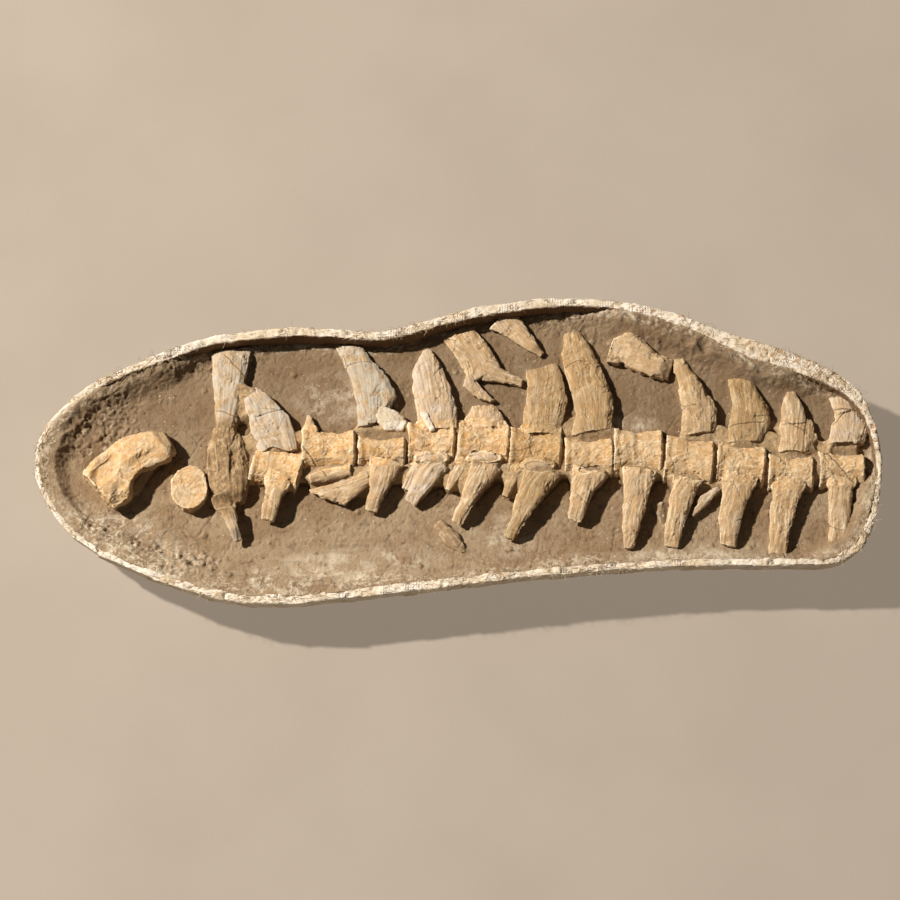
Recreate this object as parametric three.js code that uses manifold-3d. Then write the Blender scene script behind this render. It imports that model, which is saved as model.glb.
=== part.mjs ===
// A mosasaur's backbone as it was dug up: fifteen vertebrae from the base of the tail lie on their sides in
// a bed of rock matrix, with their neural spines and some loose pieces, in a plaster and burlap field jacket.
// Millimetres, +Z up, Z = 0 is the floor. X runs along the backbone, and +Y towards the neural spines.
import * as THREE from "three";
import { mergeVertices } from "three/addons/utils/BufferGeometryUtils.js";
import Module from "manifold-3d";

const wasm = await Module();
wasm.setup();

const GAP = 0.4; // clearance between pieces that touch
const SLIVER = 0.05; // finest detail that a cut may leave
const WALL_GAP = 1.2; // clearance between the matrix and the plaster round it

// Jacket
const FLOOR = 13; // thickness of plaster under the matrix
const BELLY = 80; // how far the foot lies inside the rim
const BILGE = { height: 0.6, inset: 1 }; // inner wall's knee, as a share of the rim's height
const FOOT_INSET = 55; // inner floor's edge inside the inner wall
const HULL_ANGLES = [74, 58, 40, 20, 0]; // degrees round the hull's curve, from the foot to the rim
const PER_STATION = 3; // columns between two outline stations
const KEEL = { left: -330, right: 350, y: -20 }; // line that every inset moves towards

// Matrix
const BED = 68; // its level surface
const BED_STEPS = [0.8, 0.55, 0.32, 0.16, 0.06]; // loops from near the keel out towards the wall
const HOLLOW = 2.5; // how far the open ground below the backbone is scooped out

// Bones
const SECTION = 10; // corners of a flat bone's section
const ROUND = 16; // corners of a centrum's section
const CENTRUM_AXIS = 66; // height of the backbone's axis
const CENTRUM_HALF = 26; // half the width of a centrum, seen end on
const SPINE_Z = [78, 74];
const SPINE_THICK = [20, 12];
const PROCESS_THICK = [14, 9];
const FACET_Z = 87;
const FACET_HALF = 7;

// Stations round the rim: place, rim height, wall thickness, drop from rim to matrix, width of its bank.
const OUTLINE = [
  { x: -551, y: -20, rim: 91, wall: 10, drop: 12, bank: 70 },
  { x: -539, y: 30, rim: 93, wall: 11, drop: 14, bank: 75 },
  { x: -506, y: 72, rim: 95, wall: 12, drop: 18, bank: 70 },
  { x: -452, y: 109, rim: 96, wall: 12, drop: 22, bank: 60 },
  { x: -384, y: 139, rim: 97, wall: 13, drop: 24, bank: 45 },
  { x: -319, y: 161, rim: 98, wall: 13, drop: 26, bank: 30 },
  { x: -208, y: 173, rim: 99, wall: 13, drop: 28, bank: 18 },
  { x: -96, y: 168, rim: 98, wall: 13, drop: 28, bank: 18 },
  { x: 16, y: 200, rim: 99, wall: 15, drop: 28, bank: 18 },
  { x: 141, y: 215, rim: 100, wall: 13, drop: 26, bank: 24 },
  { x: 253, y: 203, rim: 100, wall: 16, drop: 15, bank: 60 },
  { x: 371, y: 160, rim: 98, wall: 24, drop: 14, bank: 62 },
  { x: 446, y: 134, rim: 97, wall: 26, drop: 18, bank: 40 },
  { x: 516, y: 94, rim: 96, wall: 20, drop: 20, bank: 24 },
  { x: 541, y: 48, rim: 94, wall: 11, drop: 20, bank: 18 },
  { x: 551, y: -14, rim: 92, wall: 9, drop: 18, bank: 16 },
  { x: 544, y: -72, rim: 90, wall: 12, drop: 14, bank: 18 },
  { x: 524, y: -130, rim: 88, wall: 14, drop: 10, bank: 20 },
  { x: 490, y: -153, rim: 87, wall: 14, drop: 9, bank: 18 },
  { x: 438, y: -157, rim: 86, wall: 13, drop: 9, bank: 20 },
  { x: 285, y: -159, rim: 86, wall: 12, drop: 8, bank: 26 },
  { x: 105, y: -172, rim: 86, wall: 12, drop: 8, bank: 40 },
  { x: -74, y: -194, rim: 85, wall: 14, drop: 7, bank: 55 },
  { x: -266, y: -209, rim: 84, wall: 15, drop: 7, bank: 60 },
  { x: -394, y: -174, rim: 86, wall: 12, drop: 8, bank: 65 },
  { x: -495, y: -120, rim: 88, wall: 11, drop: 10, bank: 70 },
  { x: -535, y: -67, rim: 90, wall: 10, drop: 11, bank: 70 },
];

// A blade is a flat bone: root, length, lean in degrees clockwise from +Y, widths and sideways shifts at even
// steps from root to tip, z of its middle and thickness at root and tip, and slant, how far its end's edge
// on one side runs past the middle. A centrum is a waisted drum with its axis along X, turned by turn degrees.
const VERTEBRAE = [
  {
    name: "vertebra_01",
    blades: [
      {
        root: [-464, -57], length: 116, lean: 49, side: [-2, -3, -5, -9, -6, 2],
        widths: [68, 76, 72, 62, 48, 32], z: [84, 84], thick: [34, 26], slant: -3,
      },
    ],
  },
  {
    name: "vertebra_03",
    blades: [
      { root: [-303, 20], length: 130, lean: 2, widths: [28, 30, 38, 48, 56], z: [78, 78], thick: [18, 16], slant: 5 },
      { root: [-305, 36], length: 106, lean: 174, widths: [30, 52, 56, 52, 36], z: [76, 80], thick: [28, 22] },
      { root: [-305, -58], length: 66, lean: 161, widths: [34, 20, 8], z: [84, 86], thick: [16, 8] },
    ],
  },
  {
    name: "vertebra_04",
    centrum: { at: [-236, -24], length: 62, front: 50, back: 48, turn: -12 },
    blades: [{ root: [-231, -28], length: 66, lean: -167, widths: [40, 24, 17], z: [84, 86] }],
  },
  {
    name: "vertebra_05",
    centrum: { at: [-169, 7], length: 66, front: 62, back: 58, turn: 0 },
    blades: [
      { root: [-193, 30], length: 26, lean: -4, widths: [22, 14, 6], z: [76, 75], thick: [16, 8] },
      { root: [-140, -25], length: 54, lean: -102, widths: [16, 18, 13], z: [82, 80], thick: [12, 10] },
    ],
  },
  {
    name: "vertebra_06",
    centrum: { at: [-100, 4], length: 58, front: 46, back: 42, turn: 0 },
    blades: [{ root: [-93, -12], length: 71, lean: -164, widths: [44, 32, 21, 18], z: [84, 83] }],
  },
  {
    name: "vertebra_07",
    centrum: { at: [-35, 15], length: 58, front: 64, back: 48, turn: 0 },
    facet: { at: [-34, -9], size: [45, 19] },
    blades: [
      { root: [-27, 32], length: 118, lean: -7, side: [0, 3, 0, -2, 0], widths: [52, 52, 51, 44, 10] },
      { root: [-26, -14], length: 66, lean: -146, widths: [34, 26, 18], z: [84, 81] },
      { root: [-46, -4], length: 50, lean: -155, widths: [22, 18, 13], z: [78, 76], thick: [12, 8] },
    ],
  },
  {
    name: "vertebra_08",
    centrum: { at: [33, 15], length: 64, front: 68, back: 58, turn: -3 },
    facet: { at: [35, -10], size: [46, 19] },
    blades: [
      { root: [36, 36], length: 33, lean: -5, widths: [58, 50, 30], z: [76, 75], thick: [16, 10] },
      { root: [38, -16], length: 90, lean: -153, widths: [42, 28, 19, 12], z: [84, 84] },
      { root: [7, -8], length: 48, lean: -154, widths: [19, 16, 8], z: [80, 78], thick: [12, 7] },
    ],
  },
  {
    name: "vertebra_09",
    centrum: { at: [101, 6], length: 64, front: 66, back: 56, turn: -3 },
    facet: { at: [104, -19], size: [46, 20] },
    blades: [
      { root: [108, 26], length: 99, lean: 1, side: [0, 3, 7, 7, 0], widths: [52, 55, 56, 49, 43], slant: 7 },
      { root: [111, -24], length: 104, lean: -154, widths: [49, 34, 23, 13], z: [84, 82] },
      { root: [79, -16], length: 48, lean: -157, widths: [18, 15, 10], z: [80, 78], thick: [12, 8] },
    ],
  },
  {
    name: "vertebra_10",
    centrum: { at: [170, -3], length: 60, front: 56, back: 56, turn: 0 },
    blades: [
      { root: [172, -26], length: 71, lean: -162, side: [0, 3, 2, 0], widths: [47, 33, 23, 20], z: [84, 84] },
    ],
  },
  {
    name: "vertebra_11",
    centrum: { at: [234, 4], length: 60, front: 68, back: 68, turn: -2 },
    blades: [{ root: [236, -24], length: 107, lean: -171, widths: [43, 34, 26, 13], z: [84, 78] }],
  },
  {
    name: "vertebra_12",
    centrum: { at: [300, -10], length: 60, front: 64, back: 64, turn: -6 },
    blades: [
      { root: [297, -36], length: 94, lean: -166, side: [0, 2, 2, 0], widths: [38, 29, 25, 20], z: [83, 76] },
    ],
  },
  {
    name: "vertebra_13",
    centrum: { at: [367, -15], length: 60, front: 58, back: 54, turn: -6 },
    blades: [
      { root: [367, -30], length: 98, lean: -169, side: [0, 2, 4, 0], widths: [50, 36, 30, 22], z: [83, 77] },
    ],
  },
  {
    name: "vertebra_14",
    centrum: { at: [432, -25], length: 56, front: 52, back: 50, turn: -3 },
    blades: [
      { root: [430, -36], length: 104, lean: -170, side: [0, 2, 3, 0], widths: [46, 35, 30, 22], z: [82, 75] },
    ],
  },
  {
    name: "vertebra_15",
    centrum: { at: [498, -21], length: 56, front: 54, back: 44, turn: 0 },
    blades: [{ root: [498, -34], length: 100, lean: -174, widths: [38, 32, 27, 21], z: [82, 74] }],
  },
];

// Neural spines that have broken from their vertebrae, numbered with them.
const LOOSE_SPINES = [
  {
    name: "neural_spine_04",
    blades: [
      { root: [-236, 10], length: 90, lean: -26, side: [0, 5, 4, 0], widths: [50, 57, 39, 23], z: [80, 80] },
    ],
  },
  {
    name: "neural_spine_06",
    blades: [
      { root: [-118, 38], length: 127, lean: -13, side: [0, 20, 17, 7, 0], widths: [30, 55, 49, 36, 34] },
    ],
  },
  {
    name: "neural_spine_10",
    blades: [
      { root: [175, 29], length: 147, lean: -9, side: [0, 9, 9, 4, -1, 0], widths: [55, 52, 52, 49, 42, 23] },
    ],
  },
  {
    name: "neural_spine_12",
    blades: [
      { root: [312, 26], length: 119, lean: -12, side: [0, 11, 9, 4, 0], widths: [49, 49, 36, 26, 10] },
    ],
  },
  {
    name: "neural_spine_13",
    blades: [
      { root: [373, 15], length: 102, lean: -3, side: [0, 10, 12, 5, 0], widths: [44, 57, 49, 36, 31] },
    ],
  },
  {
    name: "neural_spine_14",
    blades: [
      { root: [438, 1], length: 50, lean: 5, side: [0, 4, 0], widths: [42, 51, 43] },
      { root: [439, 42], length: 47, lean: -3, widths: [36, 31, 10], thick: [12, 9] },
    ],
  },
  {
    name: "neural_spine_15",
    blades: [
      { root: [505, 13], length: 52, lean: -1, side: [0, 6, 7, 0], widths: [49, 52, 39, 25] },
      { root: [506, 58], length: 28, lean: -17, widths: [24, 27], thick: [12, 10] },
    ],
  },
];

const LOOSE_PIECES = [
  {
    name: "loose_arch", // a neural spine with the two arms of its arch
    blades: [
      { root: [36, 112], length: 76, lean: -31, side: [0, 3, 0], widths: [49, 47, 43], z: [75, 75] },
      { root: [22, 124], length: 54, lean: 154, side: [0, 17, 11, 0], widths: [24, 19, 16, 10], z: [75, 74] },
      { root: [36, 120], length: 52, lean: 110, side: [0, 2, 0], widths: [30, 18, 12], z: [75, 74] },
    ],
  },
  {
    name: "loose_process",
    blades: [
      {
        root: [-117, -33], length: 77, lean: -104, side: [0, -7, -13, -7, 0],
        widths: [21, 32, 35, 20, 8], z: [80, 77], thick: [12, 9],
      },
    ],
  },
  {
    name: "loose_spine_tip",
    blades: [{ root: [57, 194], length: 75, lean: 134, widths: [44, 32, 20, 9], z: [77, 75], thick: [14, 10] }],
  },
  {
    name: "loose_slab",
    blades: [
      {
        root: [200, 146], length: 84, lean: 108, side: [0, -12, -4, 3, 0],
        widths: [39, 52, 44, 36, 31], z: [78, 78], thick: [24, 20],
      },
    ],
  },
  {
    name: "splinter_low",
    blades: [{ root: [-26, -94], length: 54, lean: 140, widths: [14, 22, 10], z: [70, 70], thick: [12, 8] }],
  },
  {
    name: "splinter_middle",
    blades: [{ root: [259, -66], length: 40, lean: 165, widths: [16, 11, 5], z: [68, 67], thick: [6, 6] }],
  },
  {
    name: "splinter_right",
    blades: [{ root: [339, -47], length: 52, lean: -136, side: [0, 3, 0], widths: [10, 16, 5], thick: [8, 6] }],
  },
];

// Dabs of plaster that a preparator left on two of the spines.
const DABS = [
  {
    name: "plaster_dab_06",
    blades: [
      { root: [-105, 57], length: 41, lean: 118, side: [0, 3, 0], widths: [20, 32, 15], z: [83, 81], thick: [12, 9] },
    ],
  },
  {
    name: "plaster_dab_07",
    blades: [{ root: [-46, 56], length: 31, lean: 155, widths: [10, 11, 7], z: [85, 88], thick: [8, 6] }],
  },
];

const END_ON = { name: "vertebra_02", at: [-348, -49], half: [24.5, 31], top: 86, waist: 0.9 };

const COLOURS = {
  plaster: { color: 0xd9cdb8, roughness: 0.9, metalness: 0 },
  matrix: { color: 0x97795a, roughness: 0.95, metalness: 0 },
  bone: { color: 0xcfa870, roughness: 0.75, metalness: 0 },
};

const radians = (degrees) => (degrees * Math.PI) / 180;
const mix = (a, b, share) => a + (b - a) * share;
const smooth = (share) => share * share * (3 - 2 * share);

// Closed geometry through rings of points, its two ends fanned to a centre each.
function loft(rings, centres) {
  const count = rings[0].length;
  const points = [...rings.flat(), ...centres];
  const faces = [];
  for (let ring = 0; ring + 1 < rings.length; ring += 1) {
    for (let i = 0; i < count; i += 1) {
      const next = (i + 1) % count;
      const [a, b] = [ring * count + i, ring * count + next];
      faces.push(a, b, b + count, a, b + count, a + count);
    }
  }
  const [first, last] = [rings.length * count, rings.length * count + 1];
  const top = (rings.length - 1) * count;
  for (let i = 0; i < count; i += 1) {
    const next = (i + 1) % count;
    faces.push(first, next, i, last, top + i, top + next);
  }
  return new THREE.BufferGeometry().setFromPoints(points).setIndex(faces);
}

// A solid from closed geometry, turned outside out if its rings ran the other way.
function solidOf(geometry) {
  const merged = mergeVertices(geometry, 1e-4);
  const vertProperties = merged.attributes.position.array;
  const triVerts = new Uint32Array(merged.index.array);
  const made = new wasm.Manifold(new wasm.Mesh({ numProp: 3, vertProperties, triVerts }));
  if (made.volume() > 0) return made;
  const turned = triVerts.map((_, i) => triVerts[i - (i % 3) + (2 - (i % 3))]);
  return new wasm.Manifold(new wasm.Mesh({ numProp: 3, vertProperties, triVerts: turned }));
}

const centreOf = (ring) =>
  ring.reduce((sum, p) => sum.add(p), new THREE.Vector3()).divideScalar(ring.length);

// The jacket's columns: for each, the rim's point, the way towards the keel and the sizes there.
function columns() {
  const place = new THREE.CatmullRomCurve3(OUTLINE.map((s) => new THREE.Vector3(s.x, s.y, s.rim)), true);
  const sizes = new THREE.CatmullRomCurve3(OUTLINE.map((s) => new THREE.Vector3(s.wall, s.drop, s.bank)), true);
  const count = OUTLINE.length * PER_STATION;
  return Array.from({ length: count }, (_, i) => {
    const rim = place.getPoint(i / count);
    const { x: wall, y: drop, z: bank } = sizes.getPoint(i / count);
    const keel = new THREE.Vector3(THREE.MathUtils.clamp(rim.x, KEEL.left, KEEL.right), KEEL.y, rim.z);
    const reach = keel.distanceTo(rim);
    return { rim, wall, drop, bank, reach, inward: keel.sub(rim).divideScalar(reach) };
  });
}

// The point of a column at an inset from the rim's outer edge and a height.
const at = (column, inset, z) => column.rim.clone().addScaledVector(column.inward, inset).setZ(z);

const COLUMNS = columns();
const ringAt = (point) => COLUMNS.map(point);

// The inner wall runs straight from the floor's edge to the knee, and from there to the rim.
const innerFoot = (c, extra) => at(c, c.wall + FOOT_INSET + extra, FLOOR + extra);
const innerKnee = (c, extra) => at(c, c.wall + BILGE.inset + extra, c.rim.z * BILGE.height + extra);
const innerRim = (c, extra) => at(c, c.wall + extra, c.rim.z - 1.5 + extra);

function jacket() {
  const outer = HULL_ANGLES.map((angle) => {
    const turn = radians(angle);
    return ringAt((c) => at(c, BELLY * (1 - Math.cos(turn)), c.rim.z * (1 - Math.sin(turn))));
  });
  const foot = ringAt((c) => at(c, BELLY, 0));
  const inner = [innerRim, innerKnee, innerFoot].map((edge) => ringAt((c) => edge(c, 0)));
  const rings = [foot, ...outer, ...inner];
  return solidOf(loft(rings, [centreOf(foot), centreOf(inner[2])]));
}

// Height of the matrix at a share of the way from the wall to the keel.
function bedHeight(column, share) {
  const edge = column.rim.z - column.drop;
  const along = Math.min(1, (share * column.reach) / column.bank);
  const scoop = Math.max(0, column.inward.y) * HOLLOW * Math.sin(Math.PI * Math.min(1, share));
  return mix(edge, BED, smooth(along)) - scoop;
}

function bed() {
  const onWall = (c) => {
    const [knee, rim] = [innerKnee(c, WALL_GAP), innerRim(c, WALL_GAP)];
    return knee.lerp(rim, (c.rim.z - c.drop - knee.z) / (rim.z - knee.z));
  };
  const walls = [onWall, (c) => innerKnee(c, WALL_GAP), (c) => innerFoot(c, WALL_GAP)].map(ringAt);
  const steps = BED_STEPS.map((share) =>
    ringAt((c) => at(c, mix(c.wall, c.reach, share), bedHeight(c, share))),
  );
  const middle = centreOf(steps[0]).setZ(BED);
  return solidOf(loft([...steps, ...walls], [middle, centreOf(walls[2])]));
}

// A rounded section of given half width and half height round a centre, flat side up.
function section(centre, across, halfWidth, halfHeight, corners, power) {
  return Array.from({ length: corners }, (_, i) => {
    const turn = ((i + 0.5) / corners) * 2 * Math.PI;
    const [c, s] = [Math.cos(turn), Math.sin(turn)];
    const wide = Math.sign(c) * Math.abs(c) ** (2 / power) * halfWidth;
    const high = Math.sign(s) * Math.abs(s) ** (2 / power) * halfHeight;
    return centre.clone().addScaledVector(across, wide).add(new THREE.Vector3(0, 0, high));
  });
}

function blade({ root, length, lean, side, widths, z, thick, slant = 0 }) {
  const [zs, ts] = [z ?? SPINE_Z, thick ?? (z ? PROCESS_THICK : SPINE_THICK)];
  const along = new THREE.Vector3(Math.sin(radians(lean)), Math.cos(radians(lean)), 0);
  const across = new THREE.Vector3(along.y, -along.x, 0);
  const last = widths.length - 1;
  const rings = widths.map((width, i) => {
    const share = i / last;
    const centre = new THREE.Vector3(...root, mix(...zs, share))
      .addScaledVector(along, length * share)
      .addScaledVector(across, side ? side[i] : 0);
    const half = mix(...ts, share) / 2;
    const ring = section(centre, across, width / 2, half, SECTION, 2.6);
    const lift = i === last ? slant : 0;
    const sway = (p) => (p.clone().sub(centre).dot(across) / (width / 2)) * lift;
    return ring.map((p) => p.addScaledVector(along, sway(p)));
  });
  return solidOf(loft(rings, [centreOf(rings[0]), centreOf(rings[last])]));
}

// A drum with a flared lip at each end, a hollow front face and a domed back one.
function centrum({ at: [x, y], length, front, back, turn, half = CENTRUM_HALF, cup = 5 }) {
  const axis = new THREE.Vector3(Math.cos(radians(turn)), Math.sin(radians(turn)), 0);
  const across = new THREE.Vector3(-axis.y, axis.x, 0);
  const middle = new THREE.Vector3(x, y, CENTRUM_AXIS);
  const profile = [
    [-0.47, 0.86],
    [-0.5, 1],
    [-0.36, 0.95],
    [0, 0.82],
    [0.34, 0.93],
    [0.46, 1],
    [0.5, 0.84],
  ];
  const rings = profile.map(([share, size]) => {
    const centre = middle.clone().addScaledVector(axis, share * length);
    const height = mix(front, back, share + 0.5) / 2;
    return section(centre, across, height * size, half * mix(size, 1, 0.3), ROUND, 2.3);
  });
  const ends = [-0.5 * length + cup, 0.5 * length + 2];
  return solidOf(loft(rings, ends.map((shift) => middle.clone().addScaledVector(axis, shift))));
}

// An oval scar where a process has broken off, raised on the drum's side.
function facet({ at: [x, y], size: [length, height] }) {
  const shape = new THREE.SphereGeometry(1, 12, 8).scale(length / 2, height / 2, FACET_HALF);
  shape.deleteAttribute("normal");
  shape.deleteAttribute("uv");
  return solidOf(shape.translate(x, y, FACET_Z));
}

// A drum that stands on its end, so that its round face looks up.
function endOn({ at: [x, y], half: [wide, high], top, waist }) {
  const profile = [
    [BED - 8, waist],
    [top - 6, 0.97],
    [top - 1.5, 1],
    [top, 0.93],
  ];
  const rings = profile.map(([z, size]) =>
    Array.from({ length: 20 }, (_, i) => {
      const turn = (i / 20) * 2 * Math.PI;
      return new THREE.Vector3(x + Math.cos(turn) * wide * size, y + Math.sin(turn) * high * size, z);
    }),
  );
  return solidOf(loft(rings, [centreOf(rings[0]), centreOf(rings.at(-1)).setZ(top - 1)]));
}

function boneOf(row) {
  const pieces = (row.blades ?? []).map(blade);
  if (row.centrum) pieces.push(centrum(row.centrum));
  if (row.facet) pieces.push(facet(row.facet));
  return pieces.reduce((whole, piece) => whole.add(piece));
}

const largest = (solid) => solid.decompose().reduce((a, b) => (a.volume() > b.volume() ? a : b));

// Whether two solids' boxes come within the gap of each other.
function close(a, b) {
  const [p, q] = [a.boundingBox(), b.boundingBox()];
  return [0, 1, 2].every((k) => p.min[k] < q.max[k] + GAP && q.min[k] < p.max[k] + GAP);
}

// A bone is cut clear of the matrix that it rests on and of all that was placed before it.
function settle(bone, placed) {
  const sides = [[GAP, 0], [-GAP, 0], [0, GAP], [0, -GAP]].map(([x, y]) => [x, y, GAP / 2]);
  const shifts = [[0, 0, GAP], [0, 0, -GAP], ...sides];
  const cutClear = (left, other) => shifts.reduce((rest, shift) => rest.subtract(other.translate(shift)), left);
  return largest(placed.filter((other) => close(bone, other)).reduce(cutClear, bone).simplify(SLIVER));
}

function meshOf(name, solid, finish) {
  const { numProp, vertProperties, triVerts } = solid.getMesh();
  const positions = new Float32Array((vertProperties.length / numProp) * 3);
  for (let i = 0; i * numProp < vertProperties.length; i += 1) {
    positions.set(vertProperties.subarray(i * numProp, i * numProp + 3), i * 3);
  }
  const geometry = new THREE.BufferGeometry()
    .setAttribute("position", new THREE.BufferAttribute(positions, 3))
    .setIndex(new THREE.BufferAttribute(triVerts, 1));
  geometry.computeVertexNormals();
  const mesh = new THREE.Mesh(geometry, new THREE.MeshStandardMaterial(finish));
  mesh.name = name;
  return mesh;
}

const group = new THREE.Group();
const shell = jacket();
const ground = bed();
group.add(meshOf("plaster_jacket", shell, COLOURS.plaster));
group.add(meshOf("rock_matrix", ground, COLOURS.matrix));

const placed = [shell, ground];
const pieces = [
  ...VERTEBRAE.map((row) => [row.name, boneOf(row), COLOURS.bone]),
  [END_ON.name, endOn(END_ON), COLOURS.bone],
  ...[...LOOSE_SPINES, ...LOOSE_PIECES].map((row) => [row.name, boneOf(row), COLOURS.bone]),
  ...DABS.map((row) => [row.name, boneOf(row), COLOURS.plaster]),
];
pieces.forEach(([name, piece, finish]) => {
  const settled = settle(piece, placed);
  placed.push(settled);
  group.add(meshOf(name, settled, finish));
});

// The origin is the middle of the jacket's box, at its foot.
const middle = new THREE.Box3().setFromObject(group).getCenter(new THREE.Vector3()).setZ(0);
group.children.forEach((mesh) => mesh.geometry.translate(-middle.x, -middle.y, 0));

export default group;
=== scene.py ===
"""A mosasaur's backbone in its open field jacket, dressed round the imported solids.

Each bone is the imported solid, remeshed fine and carved with grain, lips, cracks and flaked patches. The
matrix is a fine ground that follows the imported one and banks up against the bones, and the jacket is plaster
over burlap with a frayed rim. Sizes are millimetres in the plan that the solids were drawn in, where x runs
along the backbone and y towards the neural spines; to_metres() takes them to the scene's frame. The whole
number that noise(), rough() and seams() take after the places is the seed of that relief.
"""

from __future__ import annotations

import logging
import math
from dataclasses import dataclass, field
from enum import Enum

import bpy
import numpy as np
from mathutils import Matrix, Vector
from mathutils.bvhtree import BVHTree


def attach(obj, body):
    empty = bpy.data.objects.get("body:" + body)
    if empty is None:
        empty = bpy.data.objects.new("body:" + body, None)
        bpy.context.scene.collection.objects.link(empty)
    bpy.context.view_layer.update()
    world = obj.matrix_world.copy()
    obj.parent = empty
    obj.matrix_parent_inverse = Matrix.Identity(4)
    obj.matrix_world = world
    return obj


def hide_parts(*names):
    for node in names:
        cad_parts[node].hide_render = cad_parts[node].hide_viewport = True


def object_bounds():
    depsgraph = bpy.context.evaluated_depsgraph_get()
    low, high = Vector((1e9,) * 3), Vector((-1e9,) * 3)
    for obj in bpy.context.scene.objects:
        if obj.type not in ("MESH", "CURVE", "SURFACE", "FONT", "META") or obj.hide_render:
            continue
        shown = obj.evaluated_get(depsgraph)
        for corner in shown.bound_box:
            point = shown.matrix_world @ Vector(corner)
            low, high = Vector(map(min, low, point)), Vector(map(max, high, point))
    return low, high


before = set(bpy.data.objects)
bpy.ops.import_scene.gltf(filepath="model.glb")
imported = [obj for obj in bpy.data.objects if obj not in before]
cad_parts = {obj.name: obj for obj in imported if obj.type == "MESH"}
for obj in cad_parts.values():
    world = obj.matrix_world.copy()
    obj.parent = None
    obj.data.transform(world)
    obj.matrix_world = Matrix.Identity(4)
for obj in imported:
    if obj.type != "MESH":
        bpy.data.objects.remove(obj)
cad_low, cad_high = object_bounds()

log = logging.getLogger("backbone")

MM = 0.001
PLAN_MIDDLE_Y = 3.0  # the plan's y at the middle of the jacket's box
BED_LEVEL = 68.0
EDGE = 0.1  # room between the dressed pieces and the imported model's box
KEEL = (-330.0, 350.0, -20.0)  # left end, right end and y of the trough's long middle line
END_GIRTH = 190.0  # outline to each radian round the trough's two ends

Colour = tuple[float, float, float, float]


# Numbers and noise


def to_metres(points: np.ndarray) -> np.ndarray:
    """Takes plan millimetres to the scene's metres."""
    return (points - (0.0, PLAN_MIDDLE_Y, 0.0)) * MM


def to_plan(points: np.ndarray) -> np.ndarray:
    """Takes the scene's metres to plan millimetres."""
    return points / MM + (0.0, PLAN_MIDDLE_Y, 0.0)


def kept_inside(points: np.ndarray) -> np.ndarray:
    """Takes plan millimetres to the scene's metres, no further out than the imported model."""
    return np.clip(to_metres(points), np.array(cad_low) + EDGE * MM, np.array(cad_high) - EDGE * MM)


def ease(low: float, high: float, value: np.ndarray) -> np.ndarray:
    """Rises smoothly from 0 at low to 1 at high."""
    share = np.clip((value - low) / (high - low), 0.0, 1.0)
    return share * share * (3.0 - 2.0 * share)


def bump_at(value: np.ndarray, middle: float, width: float) -> np.ndarray:
    """A smooth hump of height 1 at middle."""
    return np.exp(-(((value - middle) / width) ** 2))


def creased(value: np.ndarray) -> np.ndarray:
    """Folds smooth noise, so that it has a sharp crest of height 1 wherever it was 0."""
    return 1.0 - 2.0 * np.abs(value)


def on_plan(x: np.ndarray, y: np.ndarray) -> np.ndarray:
    """Joins two rows of numbers into points with z at 0."""
    return np.stack([x, y, np.zeros(len(x))], axis=1)


def scatter(cell: np.ndarray, seed: int) -> np.ndarray:
    """Gives each whole-number cell a fixed random value.

    Args:
        cell: Whole numbers, three to a point.
        seed: Which of the many fields of values to use.

    Returns:
        Values from 0 to 1.
    """
    mixed = cell[..., 0] * 374761393 + cell[..., 1] * 668265263 + cell[..., 2] * 1440662683 + seed * 974634777
    mixed &= 0xFFFFFFFF
    mixed = ((mixed ^ (mixed >> 13)) * 1274126177) & 0xFFFFFFFF
    mixed ^= mixed >> 16
    return (mixed & 0xFFFF) / 65535.0


def noise(points: np.ndarray, seed: int) -> np.ndarray:
    """Smooth noise with features one unit across.

    Args:
        points: Places, three numbers each.
        seed: Which noise to use.

    Returns:
        Values from -1 to 1.
    """
    base = np.floor(points).astype(np.int64)
    share = points - base
    share = share * share * (3.0 - 2.0 * share)
    total = np.zeros(len(points))
    for corner in np.ndindex(2, 2, 2):
        weight = np.prod(np.where(corner, share, 1.0 - share), axis=1)
        total += weight * scatter(base + corner, seed)
    return total * 2.0 - 1.0


def rough(points: np.ndarray, seed: int, octaves: int = 3) -> np.ndarray:
    """Noise with finer noise on it, each octave half as high.

    Args:
        points: Places, three numbers each.
        seed: Which noise to use.
        octaves: How many layers.

    Returns:
        Values from about -1 to 1.
    """
    total = np.zeros(len(points))
    for octave in range(octaves):
        total += noise(points * 2.03**octave + 17.3 * octave, seed + octave) * 0.5**octave
    return total / (2.0 - 0.5 ** (octaves - 1))


def seams(points: np.ndarray, size: float, seed: int) -> np.ndarray:
    """Distance to the nearest border in a random mosaic on the plan.

    Args:
        points: Places, of which x and y are used.
        size: Width of the mosaic's pieces.
        seed: Which mosaic to use.

    Returns:
        Distances in the points' own unit.
    """
    flat = on_plan(points[:, 0] / size, points[:, 1] / size)
    base = np.floor(flat).astype(np.int64)
    nearest = np.full(len(flat), 9.0)
    second = np.full(len(flat), 9.0)
    for step in np.ndindex(3, 3):
        cell = base + np.array([step[0] - 1, step[1] - 1, 0])
        spot_x = cell[:, 0] + scatter(cell, seed)
        spot_y = cell[:, 1] + scatter(cell, seed + 7)
        reach = np.hypot(flat[:, 0] - spot_x, flat[:, 1] - spot_y)
        second = np.minimum(second, np.maximum(nearest, reach))
        nearest = np.minimum(nearest, reach)
    return (second - nearest) * size * 0.5


def blurred(grid: np.ndarray, sigma: float) -> np.ndarray:
    """Softens a grid of values.

    Args:
        grid: Rows of values.
        sigma: Width of the blur, in cells.

    Returns:
        A grid of the same shape.
    """
    reach = int(3 * sigma) + 1
    kernel = np.exp(-0.5 * (np.arange(-reach, reach + 1) / sigma) ** 2)
    kernel /= kernel.sum()
    padded = np.pad(grid, reach, mode="edge")
    rows = np.apply_along_axis(lambda row: np.convolve(row, kernel, "valid"), 1, padded)
    return np.apply_along_axis(lambda column: np.convolve(column, kernel, "valid"), 0, rows)


# Meshes


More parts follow.
